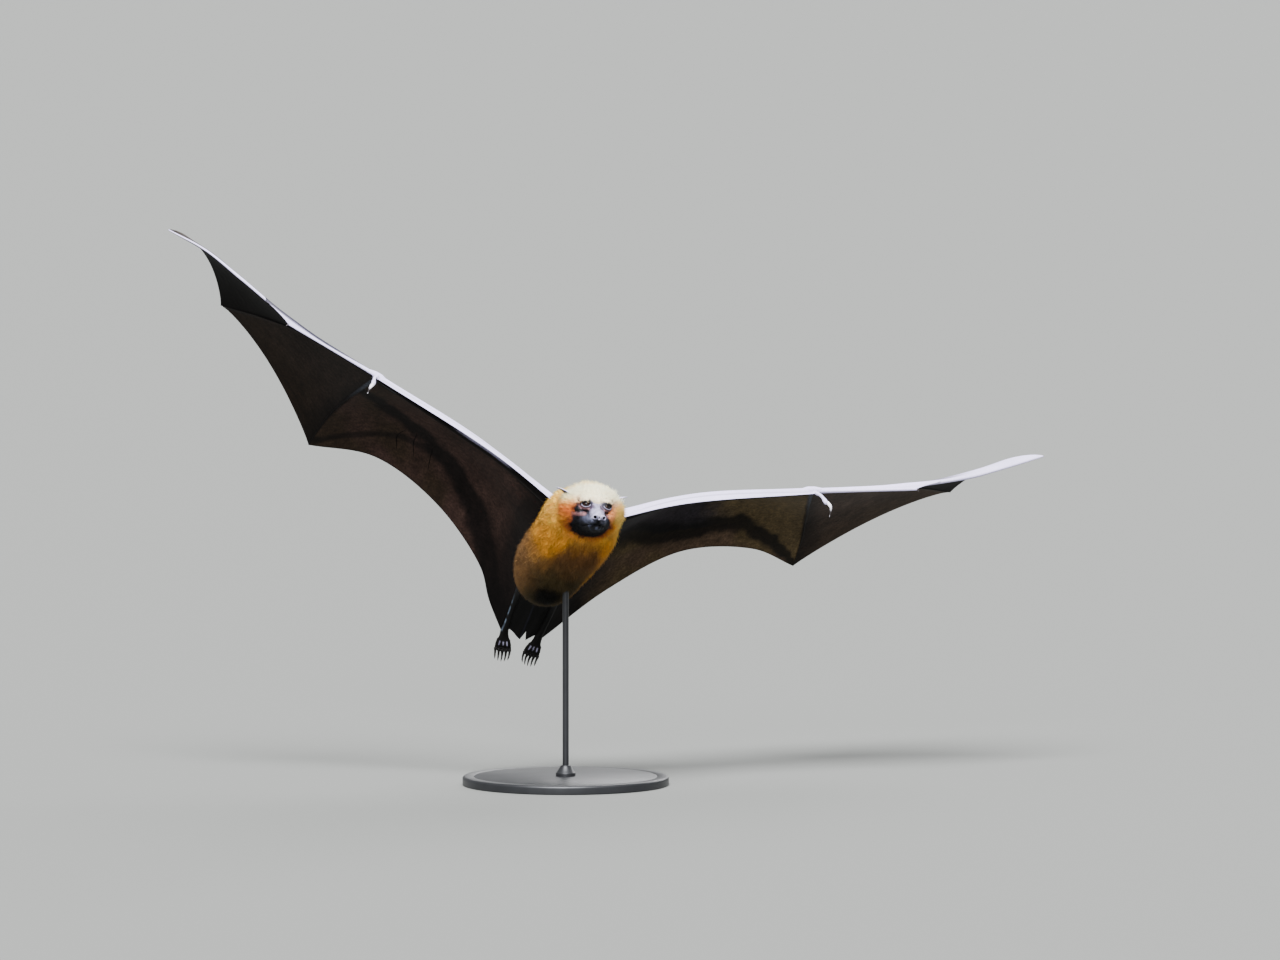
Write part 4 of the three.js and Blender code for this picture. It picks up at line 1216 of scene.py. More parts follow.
def face_colour(h):
    """Bare skin of the face."""
    x, s, z = np.abs(h[:, 0]), -h[:, 1], h[:, 2]
    speck = cloud(h, 1.8, 31)
    patches = cloud(h, 4.5, 8)
    colour = tint(MASK, SLATE, 0.38 * ease(0.35, 0.75, patches) * ease(-24, -10, z))
    # Painted highlight: the bridge of the nose is lilac grey.
    bridge = ease(10.0, 5.0, x - 0.06 * (s - 24)) * ease(16, 22, s) * ease(-8.5, -3.5, z)
    colour = tint(colour, LILAC_GREY, 0.85 * bridge)
    off_pad = np.hypot((x - 10.5) / 5.5, (z + 9.5) / 4.5) + 0.6 * (patches - 0.5)
    colour = tint(colour, shade(84, 88, 110), 0.75 * ease(1.3, 0.3, off_pad) * ease(24, 28, s))
    chin = ease(0.45, 0.8, patches) * ease(-24, -19, z) * ease(-13, -15, z) * ease(26, 32, s)
    colour = tint(colour, shade(84, 90, 112), 0.6 * chin)
    along_fold = z + 5.0 + 0.22 * (x - 12)
    fold = ease(2.6, 0.9, np.abs(along_fold)) * ease(32, 27, s) * ease(9.5, 13, x)
    colour = tint(colour, PINK_GREY * 0.75, 0.9 * fold)
    # Painted shade in the hollow under the fold.
    hollow = ease(1.9, 0.6, np.abs(along_fold - 4.2)) * ease(7, 10, x) * ease(31, 28, s)
    colour = tint(colour, SOOT, 0.85 * hollow)
    under_eye = ease(2.0, 0.8, np.abs(z - 0.8)) * ease(7, 9, x) * ease(19, 16, x)
    colour = tint(colour, PINK_GREY * 0.6, 0.7 * under_eye)
    # Painted highlight: the top of the nose is lilac grey.
    nose = ease(38, 42, s) * ease(-7.6, -6.2, z)
    colour = tint(colour, LILAC_GREY, 0.85 * nose)
    # Painted shade in the notch between the nostrils.
    colour = tint(colour, SOOT, 0.9 * ease(1.4, 0.7, x) * ease(-2.5, -4.0, z) * ease(43, 44.5, s))
    # Painted glint: the small bead under the notch is pale lavender.
    bead = np.hypot(x / 1.0, (z + 6.7) / 1.1) + ease(45.2, 44.2, s)
    colour = tint(colour, LAVENDER * 0.8, ease(0.9, 0.4, bead))
    colour = colour * (0.75 + 0.5 * speck)[:, None]
    wide, high = EYE["opening"]
    for side in (-1, 1):
        mouth, facing = nostril(side)
        q = h - mouth
        deep = q @ facing
        flat = np.linalg.norm(q - deep[:, None] * facing, axis=1)
        near = np.linalg.norm(q, axis=1) < 6.5
        # Painted highlight on the upper outer side of each nostril's rim, and painted shade deep in its hole.
        lit = ease(-1.5, 2.4, q @ unit(np.array([side * 0.8 - 0.2, 0, 0.6])))
        rim = near * ease(1.4, 2.0, flat) * ease(3.9, 3.1, flat) * ease(-0.4, 1.0, deep)
        colour = tint(colour, tint(SLATE * 0.8, LAVENDER * 0.62, 0.1 + 0.9 * lit), 0.9 * rim)
        colour = tint(colour, SOOT * 0.3, near * ease(2.1, 1.6, flat) * ease(1.8, 0.9, deep))
        centre, out, up, _ = eye_frame(side)
        q = h - centre
        a, b = q @ out, q @ up
        r = np.linalg.norm(q, axis=1)
        reach = ease(10.5, 8.0, r)
        oval = np.hypot(a / wide, b / high)
        dark = reach * ease(mix(1.5, 1.9, ease(-1, 1, b)), 1.2, oval)
        colour = tint(colour, SOOT, 0.9 * dark)
        lower_rim = ease(0.88, 0.95, oval) * ease(1.16, 1.05, oval) * ease(0.7, -0.5, b)
        lower_rim = lower_rim * ease(7.9, 7.4, r) * ease(6.0, 6.3, r)
        colour = tint(colour, LAVENDER * 0.55, 0.9 * lower_rim)
        bag = reach * ease(1.3, 1.5, oval) * ease(2.3, 1.8, oval) * ease(0.5, -1.5, b)
        colour = tint(colour, PINK_GREY, 0.35 * bag)
    return colour


def body_colour(p):
    """Coat of the trunk, at points in the bat's frame."""
    x, y, z = p.T
    noise = cloud(p, 14, 41) - 0.5
    fine = cloud(p, 4, 42) - 0.5
    across = np.arctan2(x + 0.11 * y, -(z + 10))  # 0 at the belly's middle, positive to the bat's left
    t = y + 22 * noise + 12 * fine
    middle = ease(1.0, 0.3, np.abs(across - 0.25 + 0.25 * noise))
    chest = tint(GOLD, AMBER * 0.8, ease(-35, 15, t) * (0.3 + 0.7 * middle))
    # Painted shade: the middle of the chest below the chin is darker.
    chest = tint(chest, TAN * 0.55, 0.85 * ease(-30, 6, t) * ease(0.2, 0.8, middle))
    chest = tint(chest, TAN, 0.75 * ease(0, 45, t))
    # The middle of the belly is darker olive: partly its colour, partly painted shade from the head.
    belly = tint(TAN * 1.1, OLIVE, 0.95 * ease(1.25, 0.45, np.abs(across - 0.2 + 0.3 * noise)))
    belly = tint(belly, GOLD * 0.8, 0.7 * ease(0.75, 1.15, across) * ease(130, 60, y))
    under = tint(chest, belly, ease(15, 60, t))
    patch = np.hypot((x + 9) / 15, (y - 95) / 23)
    under = tint(under, SOOT, 0.97 * ease(1.4, 0.65, patch + 0.4 * noise) * ease(-12, -24, z))
    under = tint(under, TAN * 0.7, 0.7 * ease(132, 146, y))
    under = tint(under, mix(PALE_GOLD, GOLD, 0.5), 0.8 * ease(-26, -6, z) * ease(28, -8, t))
    mantle = tint(PALE_GOLD, GOLD, ease(-30, 0, t))
    back = tint(mantle, UMBER, ease(14, 46, t))
    back = tint(back, SOOT * 1.6, ease(70, 130, t))
    return tint(under, back, ease(-2, 14, z + 6 * fine))


def coat_colour(p):
    """Coat colour, how far the skin is mask, and the place in the head, anywhere on head and trunk."""
    h = to_head(p)
    mask, head = head_colour(h)
    on_head = ease(-26, -2, -h[:, 1] - 0.25 * np.abs(h[:, 2] + 5))
    return tint(body_colour(p), head, on_head), mask, h


def build_body():
    """The skin of head, neck, trunk and ears. Returns the sculpted part, on which the coat grows."""
    xs = uneven(-62, 62, -26, 27, 0.52, 2.8)
    ys = uneven(-104, 172, -88, -46, 0.52, 3.0)
    zs = uneven(-72, 44, -54, 12, 0.52, 2.8)
    clay = Clay(xs, ys, zs)
    everywhere = (np.full(3, -200), np.full(3, 300))
    clay.add(stack(TRUNK_SKIN, 1), *everywhere, soft=1)
    clay.add(stack(HEAD_SKIN, -1), *everywhere, soft=8, frame=to_head)
    sculpt_face(clay)
    points, quads = clay.skin()
    colour, mask, h = coat_colour(points)
    bare = face_colour(h)
    # Painted shade: the skin under the coat is darker than the coat.
    paint = tint(colour * 0.6, bare, ease(0.3, 0.7, mask))
    body = Shape()
    body.add(points, paint, quads=quads)
    for side in (-1, 1):
        ear_points, faces, ear_paint = ear_shape(side)
        body.add(from_head(ear_points), ear_paint, quads=faces)
    skin = body.make("body_skin", FACE_SKIN)
    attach(skin, "root")
    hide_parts("head", "neck", "trunk", "ear_left", "ear_right")
    return points, quads


def build_eyes():
    rings, sides = 39, 48
    polar = np.linspace(0, np.pi, rings + 2)[1:-1]
    around = np.linspace(0, 2 * np.pi, sides, endpoint=False)
    radius = EYE["radius"] * (1 + CORNEA_BULGE * ease(0.75, 0.3, polar))
    for name, side in SIDES.items():
        centre, _, up, gaze = eye_frame(side)
        flat = (radius * np.sin(polar))[:, None, None]
        circle = np.cos(around)[:, None] * np.cross(gaze, up) + np.sin(around)[:, None] * up
        ring = centre + flat * circle + (radius * np.cos(polar))[:, None, None] * gaze
        poles = [centre + gaze * EYE["radius"] * (1 + CORNEA_BULGE), centre - gaze * EYE["radius"]]
        points = np.vstack([ring.reshape(-1, 3), poles])
        on_circle = np.stack([np.cos(around), np.sin(around), np.zeros(sides)], -1)
        spoke = 0.85 + 0.3 * cloud(on_circle * 9, 1, 6)
        angle = np.concatenate([np.repeat(polar, sides), [0, np.pi]])
        iris = tint(shade(38, 18, 10), shade(14, 8, 6), ease(0.5, 0.75, angle))
        iris = iris * np.concatenate([np.tile(spoke, rings), [1, 1]])[:, None]
        paint = tint(shade(2, 2, 2), iris, ease(0.27, 0.31, angle))
        paint = tint(paint, shade(14, 9, 8), ease(0.85, 0.95, angle))
        eye = Shape()
        eye.add(from_head(points), paint, *barrel_faces(rings, sides))
        eyeball = eye.make(f"eyeball_{name}", EYE_GLOSS)
        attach(eyeball, "root")
        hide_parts(f"eye_{name}")


# ---- Legs, feet and tail ----
def foot_place(leg):
    """Places on a foot, in millimetres forward, to the side and down from its heel."""
    heel = np.array(leg["joints"][2], float)
    ahead = unit(np.array(leg["toes"], float))
    across = unit(np.cross([0, 0, 1.0], ahead))
    sole = -np.cross(ahead, across)
    return lambda forward, sideways, down=0: heel + forward * ahead + sideways * across + down * sole


def toe_lines(at):
    """The middle line of each toe and claw. The outer toes are a little shorter."""
    toes, claws = [], []
    for p in np.linspace(-1, 1, 5):
        reach = 26 - 2.5 * p * p
        toe = [at(11, p * 5.8), at(16.5, p * 7.0, -1.0), at(21, p * 7.8, -1.2), at(reach, p * 8.1, 0.8)]
        toes.append(toe)
        base, knuckle = at(reach - 1.2, p * 8.2, 0.2), at(reach + 2.2, p * 8.1, -0.2)
        claws.append([base, knuckle, at(reach + 6, p * 7.8, 2.0), at(reach + 8.5, p * 7.2, 6)])
    return toes, claws


TOE_GIRTH = [2.0, 1.95, 1.9, 1.9, 2.0, 2.0, 1.9, 1.8, 1.75, 1.75, 1.8, 1.7, 1.4]


def sculpt_foot(clay, at, toes):
    """Sole, webs between the toes' roots, then the toes with their pads and creases."""
    for p in (-0.8, -0.27, 0.27, 0.8):
        clay.add(rod(at(2, p * 1.8), at(16, p * 6.9), 3.0, 2.1), at(7, 0) - 18, at(7, 0) + 18, 1.6)
    clay.add(ball(at(-3, 0, 2.0), 3.0), at(-3, 0) - 8, at(-3, 0) + 8, 1.5)
    sole = at(0, 0, 1) - at(0, 0)
    for p in (-0.75, -0.25, 0.25, 0.75):
        clay.add(rod(at(10, p * 6.0), at(22.5, p * 7.9, -0.8), 2.0, 1.6), at(16, 0) - 16, at(16, 0) + 16, 1.2)
    for toe in toes:
        line = Line(toe).at(np.linspace(0, 1, len(TOE_GIRTH)))
        clay.add(chain(line, TOE_GIRTH), line[6] - 12, line[6] + 12, 0.7)
        clay.add(ball(line[10] + 0.4 * sole, 1.6), line[10] - 4, line[10] + 4, 0.9)
        for i in (7, 9):
            def beside(p, joint=line[i], along=unit(line[i + 1] - line[i - 1])):
                return np.abs((p - joint) @ along)

            clay.engrave(beside, 0.25, 0.35, line[i] - 2.4, line[i] + 2.4, 0.5)


def paint_leg(name, points, at, joints):
    """Near black, with painted glints on the foot and, on the right, a painted highlight down the shank."""
    glint = cloud(points, 2.0, 9)
    paint = SOOT * (0.75 + 0.5 * glint)[:, None]
    # Painted glints: three pale streaks along the toes, on the side towards the camera.
    seen = unit(np.array([-0.12, -0.85, -0.51]))
    for aside in (-4, 0, 4):
        start, stop = at(13, aside) + 2.6 * seen, at(19.5 - 0.1 * aside * aside, aside * 1.15) + 2.6 * seen
        streak = rod(start, stop, 0.0, 0.0)(points)
        paint = tint(paint, LILAC_GREY, 0.75 * ease(1.15, 0.3, streak) * ease(0.1, 0.5, glint))
    if name == "left":
        return paint
    # Painted highlight: a pale line down one side of the right shank.
    away, _, share = near_bone(points, Line(joints), [1, 1])
    outward = (points - Line(joints).at(share)) / (away + 1e-6)[:, None]
    lit = ease(0.8, 0.97, outward @ unit(seen + np.array([-1.1, 0, 0])))
    lit = lit * ease(0.25, 0.45, share) * ease(1.0, 0.97, share) * ease(0.2, 0.6, cloud(points, 5, 6))
    return tint(paint, shade(120, 136, 156), 0.9 * lit)


def build_leg(name):
    """The skin of a leg and foot, and the claws of its toes."""
    leg = LEGS[name]
    at = foot_place(leg)
    toes, claws = toe_lines(at)
    joints = [np.array(j, float) for j in leg["joints"]]
    low = np.min([*joints, at(28, 0)], axis=0) - 15
    high = np.max([*joints, at(28, 0)], axis=0) + 15
    foot = at(14, 0)
    clay = Clay(
        uneven(low[0], high[0], foot[0] - 11, foot[0] + 11, 0.5, 1.2),
        uneven(low[1], high[1] + 3, joints[2][1] - 6, at(29, 0)[1] + 4, 0.5, 1.3),
        uneven(low[2], high[2], foot[2] - 13, foot[2] + 13, 0.5, 1.2),
    )
    share = np.linspace(0, 1, 19)
    clay.add(chain(Line(joints).at(share), spread(LEG_GIRTH, share)), low - 20, high + 20, 1)
    sculpt_foot(clay, at, toes)
    points, quads = clay.skin()
    paint = paint_leg(name, points, at, joints)
    flesh = Shape()
    flesh.add(points, paint, quads=quads)
    limb = flesh.make(f"leg_skin_{name}", LEG_SKIN)
    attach(limb, "root")
    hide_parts(f"leg_{name}", f"foot_{name}")
    horn = Shape()
    for claw in claws:
        points, triangles, quads, share = tube(claw, TOE_CLAW_GIRTH, 14, 22, flat=1.3)
        horn.add(points, tint(shade(30, 26, 25), shade(14, 12, 12), ease(0.05, 0.5, share)), triangles, quads)
    nails = horn.make(f"toe_claws_{name}", HORN)
    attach(nails, "root")


def build_tail():
    """The narrow skin between the legs, notched between two short spurs."""
    right, left = (Line(LEGS[name]["joints"]) for name in ("right", "left"))
    # How far down the legs the skin reaches, from the right leg to the left one.
    reach = [0.95, 0.945, 0.955, 0.98, 1.005, 1.03, 1.06, 0.93, 1.06, 1.01, 0.98, 0.96, 0.95]
    u = np.linspace(0, 1, 73)
    v = np.linspace(0, 1, 60)[:, None]
    t = mix(0.1, spread(reach, u)[None], v)
    past = np.maximum(t - 1, 0)[..., None] * np.array([0, 100, -20])
    grid = mix(right.at(np.minimum(t, 1)), left.at(np.minimum(t, 1)), u[None, :, None]) + past
    sag = 8 * u * (1 - u) * v
    grid[..., 2] -= sag
    ripple = 0.5 * np.sin(u * 19 + 3 * v) * np.sin(np.pi * u) * ease(0.2, 0.7, v)
    grid[..., 2] += ripple
    sheet = Sheet()
    sheet.patch(grid, np.stack(np.broadcast_arrays(u[None], v), -1))
    sheet.weld()
    crease = np.exp(-(((sheet.m[:, 0] - 0.5) / 0.02) ** 2))
    height = TAIL_HALF + 0.5 * crease * ease(1.0, 0.5, sheet.m[:, 1])
    points, triangles, quads = sheet.closed(height)
    paint = SOOT * (0.8 + 0.5 * cloud(points, 4, 17))[:, None]
    paint = tint(paint, SLATE * 0.5, 0.3 * np.tile(crease, 2))
    skin = Shape()
    skin.add(points, paint, triangles, quads)
    tail = skin.make("tail_skin", LEG_SKIN)
    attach(tail, "root")
    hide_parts("tail_membrane")


# ---- Coat ----
def lie_of_coat(p, h, normal):
    """The way the fur runs over the skin."""
    back = HEAD_TURN @ np.array([0, 1.0, 0.0])
    centre = from_head(np.array([0, -10, -5.0]))
    radial = unit(p - centre)
    head_way = unit(0.75 * back + 0.6 * radial + np.array([0, 0.1, -0.05]))
    body_way = np.broadcast_to(np.array([0, 1.0, -0.04]), p.shape)
    s = -h[:, 1]
    w = ease(-20, 2, s - 0.2 * np.abs(h[:, 2] + 5))[:, None]
    way = mix(body_way, head_way, w)
    way = way + 0.35 * (np.stack([cloud(p, 13, 51 + k) for k in range(3)], -1) - 0.5)
    flat = way - (way * normal).sum(1)[:, None] * normal
    return unit(flat)


def coat_length(p, h, mask):
    s = -h[:, 1]
    length = mix(12.5, 11.5, ease(10, 60, p[:, 1]))
    length = mix(length, 8.5, ease(80, 140, p[:, 1]))
    length = mix(length, mix(4.0, 11.5, ease(21, 4, s)), ease(-14, 0, s))
    velvet = mix(mix(6.0, 3.0, ease(0.5, 0.95, mask)), 0.9, ease(14, 30, s))
    return mix(length, velvet, ease(0.15, 0.75, mask))


def skin_normals(points, quads):
    face = np.cross(points[quads[:, 2]] - points[quads[:, 0]], points[quads[:, 3]] - points[quads[:, 1]])
    normal = np.zeros_like(points)
    for k in range(4):
        np.add.at(normal, quads[:, k], face)
    return unit(normal), np.linalg.norm(face, axis=1) / 2


CLUMPS, STRANDS = 19500, 8
# How steeply the coat stands from the skin, in degrees, and how much steeper a strand's root and tip stand.
LIFT = {"body": 20, "crown": 18, "mask": 15}
STRAND_BEND = (11, -13)
# A strand has three corners at its root, three at its bend and one at its tip.
STRAND_FACES = np.array([
    [0, 1, 4], [0, 4, 3], [1, 2, 5], [1, 5, 4], [2, 0, 3], [2, 3, 5], [3, 4, 6], [4, 5, 6], [5, 3, 6],
])
ROOT_SHADE, TIP_SHADE = np.array([0.78, 0.68, 0.56]), 1.1
PATCH_SIZE = 0.003
STRAND_PATCH = np.array([[0, 0], [0.5, 0], [1, 0], [0, 0.6], [0.5, 0.6], [1, 0.6], [0.5, 1]]) * PATCH_SIZE
COAT_REGIONS = ["face", "crown", "chest", "belly", "back", "throat"]
MOST_STRANDS = 22000


def coat_density(h, mask):
    """How closely the clumps stand: none on the nose and eyes, most on the mask."""
    bare_from = mix(36.5, 45, ease(-7.5, -10, h[:, 2]))
    to_nostril = np.min([np.linalg.norm(h - nostril(side)[0], axis=1) for side in (-1, 1)], axis=0)
    density = ease(bare_from + 1, bare_from - 1, -h[:, 1]) * ease(4.0, 5.0, to_nostril)
    for side in (-1, 1):
        centre, out, up, _ = eye_frame(side)
        q = h - centre
        lid = np.hypot(q @ out / 5.7, q @ up / 3.7)
        density *= np.where(np.linalg.norm(q, axis=1) < 9.5, ease(0.95, 1.15, lid), 1)
    return density * mix(1.0, 1.9, ease(0.25, 0.8, mask))


def place_clumps(rng, points, quads):
    """The roots of the clumps, and the skin's normals there."""
    a, b, c, d = (points[quads[:, k]] for k in range(4))
    vertex_normal, area = skin_normals(points, quads)
    _, mask, h = coat_colour((a + b + c + d) / 4)
    weight = area * coat_density(h, mask)
    pick = rng.choice(len(quads), CLUMPS, p=weight / weight.sum())
    uv = rng.random((CLUMPS, 2, 1))
    root = mix(mix(a[pick], b[pick], uv[:, 0]), mix(d[pick], c[pick], uv[:, 0]), uv[:, 1])
    return root, unit(vertex_normal[quads[pick]].mean(axis=1))


def strand_points(rng, root, normal, way, length, lift, short):
    """The seven corners of every strand of every clump."""
    side = np.cross(normal, way)
    across, along, out = side[:, None], way[:, None], normal[:, None]
    spread_by = mix(1.7, 0.6, short)[:, None, None]
    off = rng.normal(0, 1, (CLUMPS, STRANDS, 2)) * spread_by
    sunk = mix(0.8, 0.15, short)[:, None, None]
    base = root[:, None] + off[..., :1] * across + off[..., 1:] * along - out * sunk
    span = length[:, None] * rng.uniform(0.72, 1.12, (CLUMPS, STRANDS))
    jitter = rng.normal(0, 1, (CLUMPS, STRANDS, 3)) * mix(0.09, 0.1, short)[:, None, None]
    lower, upper = (lift[:, None, None] + np.radians(bend) for bend in STRAND_BEND)
    lower_way = unit(along * np.cos(lower) + out * np.sin(lower) + jitter)
    gather = 0.14 * off[..., :1] * across / spread_by
    upper_way = unit(along * np.cos(upper) + out * np.sin(upper) + jitter * 1.4 - gather)
    middle = base + lower_way * span[..., None] * 0.5
    tip = middle + upper_way * span[..., None] * 0.5
    width = mix(0.155, 0.1, short)[:, None] * rng.uniform(0.75, 1.2, (CLUMPS, STRANDS))

    n = CLUMPS * STRANDS
    base, middle, tip, lower_way = (v.reshape(n, 3) for v in (base, middle, tip, lower_way))
    side = np.repeat(side, STRANDS, 0)
    ring = np.array([0.0, 2.1, 4.19]) + rng.uniform(0, 6.28, (n, 1))
    corner = unit(side)[:, None] * np.cos(ring)[..., None]
    corner = corner + unit(np.cross(side, lower_way))[:, None] * np.sin(ring)[..., None]
    corner = corner * width.reshape(n)[:, None, None]
    return np.concatenate([base[:, None] + corner, middle[:, None] + corner * 0.85, tip[:, None]], axis=1)


def strand_paint(rng, colour, mask, h, tone):
    """Each strand is darkest at its root and lightest at its tip."""
    tone = np.repeat(tone, STRANDS) * rng.uniform(0.9, 1.08, CLUMPS * STRANDS)
    strand = tint(colour, face_colour(h) * 1.15, ease(0.3, 0.75, mask))
    strand = np.repeat(strand, STRANDS, 0) * tone[:, None]
    corners = [strand * ROOT_SHADE] * 3 + [strand] * 3 + [strand * TIP_SHADE]
    return np.clip(np.stack(corners, 1), 0.001, 0.96)


def strand_map(root):
    """A small patch for each strand, at its root's place on the skin unrolled round the body."""
    around = np.arctan2(root[:, 0] + 0.08 * root[:, 1], root[:, 2] + 9) / (2 * np.pi) + 0.5
    down = (root[:, 1] + 105) / 280
    place = np.repeat(np.stack([0.01 + 0.98 * around, 0.01 + 0.98 * down], -1), STRANDS, 0)
    return place[:, None] + STRAND_PATCH - PATCH_SIZE / 2


def coat_region(root, h):
    """The number of each clump's region of the coat."""
    s, z = -h[:, 1], h[:, 2]
    tests = [s > 8, (s > -24) & (z >= -6), s > -24, root[:, 2] > -6, root[:, 1] <= 66]
    found = [COAT_REGIONS.index(name) for name in ("face", "crown", "throat", "back", "chest")]
    return np.select(tests, found, COAT_REGIONS.index("belly"))


def grow_coat(points, quads):
    """Clumps of tapering strands over the head and trunk, in pieces of fewer than 200,000 triangles."""
    rng = np.random.default_rng(7)
    root, normal = place_clumps(rng, points, quads)
    colour, mask, h = coat_colour(root)
    way = lie_of_coat(root, h, normal)
    mask = np.clip(mask + rng.normal(0, 0.13, CLUMPS) * ease(0, 0.3, mask) * ease(1.0, 0.7, mask), 0, 1)
    length = coat_length(root, h, mask) * rng.uniform(0.82, 1.12, CLUMPS)
    short = ease(0.2, 0.8, mask)
    crown = ease(-2, 10, h[:, 2] - 0.1 * h[:, 1]) * ease(-30, -12, -h[:, 1])
    lift = mix(mix(LIFT["body"], LIFT["crown"], crown), LIFT["mask"], short)
    lift = np.radians(lift + rng.normal(0, 5, CLUMPS))
    # Grey tufts stand up over the eyes.
    brow = ease(1.9, 0.9, np.hypot(np.abs(h[:, 0]) - 10, h[:, 2] - 9.0)) * ease(15, 18, -h[:, 1])
    upright = np.broadcast_to(unit(HEAD_TURN @ np.array([0.15, -0.1, 1.0])), way.shape)
    way = unit(mix(way, upright, brow[:, None]))
    length, lift = mix(length, 5.0, brow), mix(lift, 0.5, brow)
    colour = tint(colour, SLATE * 0.8, brow)
    mask = mask * (1 - brow)
    # Painted shade: the gaps between the clumps are darker, most of all below.
    tone = rng.uniform(0.88, 1.1, CLUMPS)
    gaps = cloud(root * [1, 0.5, 1], 5, 61)
    tone *= mix(0.55 + 0.75 * gaps, 0.9 + 0.2 * gaps, ease(-8, 8, h[:, 2] - 0.2 * h[:, 1]))

    corners = strand_points(rng, root, normal, way, length, lift, short)
    paint = strand_paint(rng, colour, mask, h, tone)
    uv = strand_map(root)
    region = np.repeat(coat_region(root, h), STRANDS)
    for k, name in enumerate(COAT_REGIONS):
        chosen = np.flatnonzero(region == k)
        parts = math.ceil(len(chosen) / MOST_STRANDS)
        for part, members in enumerate(np.array_split(chosen, parts)):
            first = corners.shape[1] * np.arange(len(members))[:, None, None]
            faces = (STRAND_FACES + first).reshape(-1, 3)
            label = f"coat_{name}" if parts == 1 else f"coat_{name}_{part + 1}"
            place = to_world(corners[members].reshape(-1, 3))
            piece = make_piece(label, place, [faces], FUR, paint[members].reshape(-1, 3))
            layer = piece.data.uv_layers.new(name="OFBake")
            corner_uv = uv[members].reshape(-1, 2)[faces.ravel()]
            layer.data.foreach_set("uv", corner_uv.astype(np.float32).ravel())
            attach(piece, "root")


# ---- Stand ----
STAND = {
    "base_radius": 115, "base_height": 10, "rod_radius": 3.5, "collar_radius": 11, "collar_height": 12,
    "paint": shade(46, 47, 50), "sharp_from": 35,
}


def turned(profile, sides=128):
    """A solid turned about the upright axis, from its bottom centre round to its top centre."""
    profile = np.array(profile, float)
    inner = profile[1:-1]
    angle = np.linspace(0, 2 * np.pi, sides, endpoint=False)
    ring = np.stack([
        np.multiply.outer(inner[:, 0], np.cos(angle)),
        np.multiply.outer(inner[:, 0], np.sin(angle)),
        np.repeat(inner[:, 1:], sides, 1),
    ], -1)
    points = np.vstack([ring.reshape(-1, 3), [[0, 0, profile[0, 1]], [0, 0, profile[-1, 1]]]])
    triangles, quads = barrel_faces(len(inner), sides)
    return points * MM, triangles[:, ::-1], quads[:, ::-1]


def arc(centre_r, centre_z, radius, start, end, count=6):
    """Points of a rounded edge of a turned profile."""
    a = np.radians(np.linspace(start, end, count))
    return [(centre_r + radius * math.cos(x), centre_z + radius * math.sin(x)) for x in a]


def build_stand():
    r, h = STAND["base_radius"], STAND["base_height"]
    base = [
        (0, 0), (r - 2.5, 0), *arc(r - 1.2, 1.2, 1.2, -90, 0), *arc(r - 3, h - 3, 3, 0, 90, 10),
        (r - 12, h), (r - 13, h - 0.5), (r - 14, h), (0, h),
    ]
    c, rr, collar_top = STAND["collar_radius"], STAND["rod_radius"], h + STAND["collar_height"]
    shoulder = h + STAND["collar_height"] / 4
    top = float(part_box("stand_rod")[1].z) / MM + 4
    rod_line = [
        (0, h - 1), (c, h - 1), (c, shoulder), *arc(c - 1, shoulder, 1, 0, 70, 5), (rr + 2.2, collar_top - 1),
        *arc(rr + 1.2, collar_top - 1, 1, 0, 90, 5), (rr, collar_top), (rr, top), (0, top),
    ]
    for name, profile in (("stand_base", base), ("stand_rod", rod_line)):
        points, triangles, quads = turned(profile)
        paint = np.tile(STAND["paint"], (len(points), 1))
        piece = make_piece(f"{name}_turned", points, [triangles, quads], STAND_METAL, paint)
        piece.data.set_sharp_from_angle(angle=math.radians(STAND["sharp_from"]))
        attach(piece, "root")
        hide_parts(name)


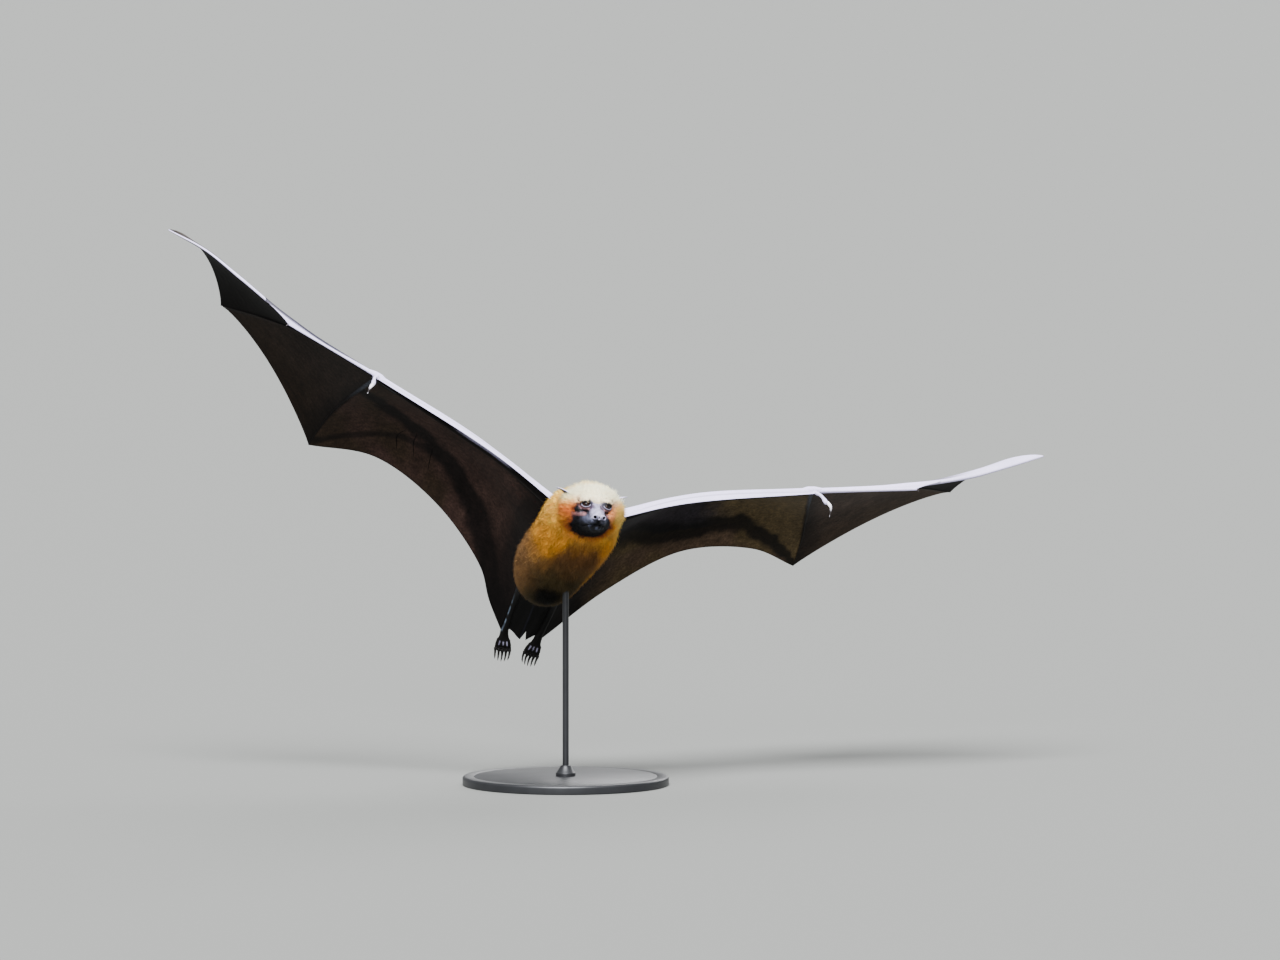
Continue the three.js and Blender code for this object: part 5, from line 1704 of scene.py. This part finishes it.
# ---- Floor, light and camera ----
# Soft lights: name, where each stands round the model, how high, how wide it looks, and its strength.
SUNS = [("key", -6, 60, 34, 13.0), ("front", -8, 24, 16, 2.2), ("rim", 160, 35, 40, 2.5)]


FLOOR = {"half": 90, "colour": (0.135, 0.14, 0.135, 1), "roughness": 0.9}
SKY = {"colour": (0.78, 0.8, 0.8, 1), "strength": 0.46}


def build_studio():
    mesh = bpy.data.meshes.new("floor")
    half = FLOOR["half"]
    corners = [(-half, -half, 0), (half, -half, 0), (half, half, 0), (-half, half, 0)]
    mesh.from_pydata(corners, [], [(0, 1, 2, 3)])
    floor = place_object("floor", mesh)
    paper = bpy.data.materials.new("pale floor")
    paper.use_nodes = True
    shader = paper.node_tree.nodes["Principled BSDF"]
    shader.inputs["Base Color"].default_value = FLOOR["colour"]
    shader.inputs["Roughness"].default_value = FLOOR["roughness"]
    mesh.materials.append(paper)

    world = bpy.data.worlds.new("studio")
    world.use_nodes = True
    sky = world.node_tree.nodes["Background"]
    sky.inputs["Color"].default_value = SKY["colour"]
    sky.inputs["Strength"].default_value = SKY["strength"]
    bpy.context.scene.world = world

    for name, azimuth, elevation, spread_angle, strength in SUNS:
        lamp = bpy.data.lights.new(name, "SUN")
        lamp.angle, lamp.energy = math.radians(spread_angle), strength
        light = place_object(name, lamp)
        light.rotation_euler = (math.radians(90 - elevation), 0, math.radians(azimuth))
        light.location = (0, -1, 2)


CAMERA = {"elevation": 5, "distance": 23.7, "lens": 600, "target": (0.0828, -0.0376, 0.3441)}


def place_camera():
    lens = bpy.data.cameras.new("camera")
    lens.lens, lens.sensor_width = CAMERA["lens"], 36
    lens.clip_start, lens.clip_end = 0.5, 400
    camera = place_object("camera", lens)
    tilt = math.radians(CAMERA["elevation"])
    x, y, z = CAMERA["target"]
    far = CAMERA["distance"]
    camera.location = (x, y - far * math.cos(tilt), z + far * math.sin(tilt))
    camera.rotation_euler = (math.radians(90) - tilt, 0, 0)
    bpy.context.scene.camera = camera


place_camera()
build_studio()
body_points, body_quads = build_body()
build_eyes()
for wing_name in ("left", "right"):
    build_wing(wing_name)
    build_leg(wing_name)
build_tail()
grow_coat(body_points, body_quads)
build_stand()
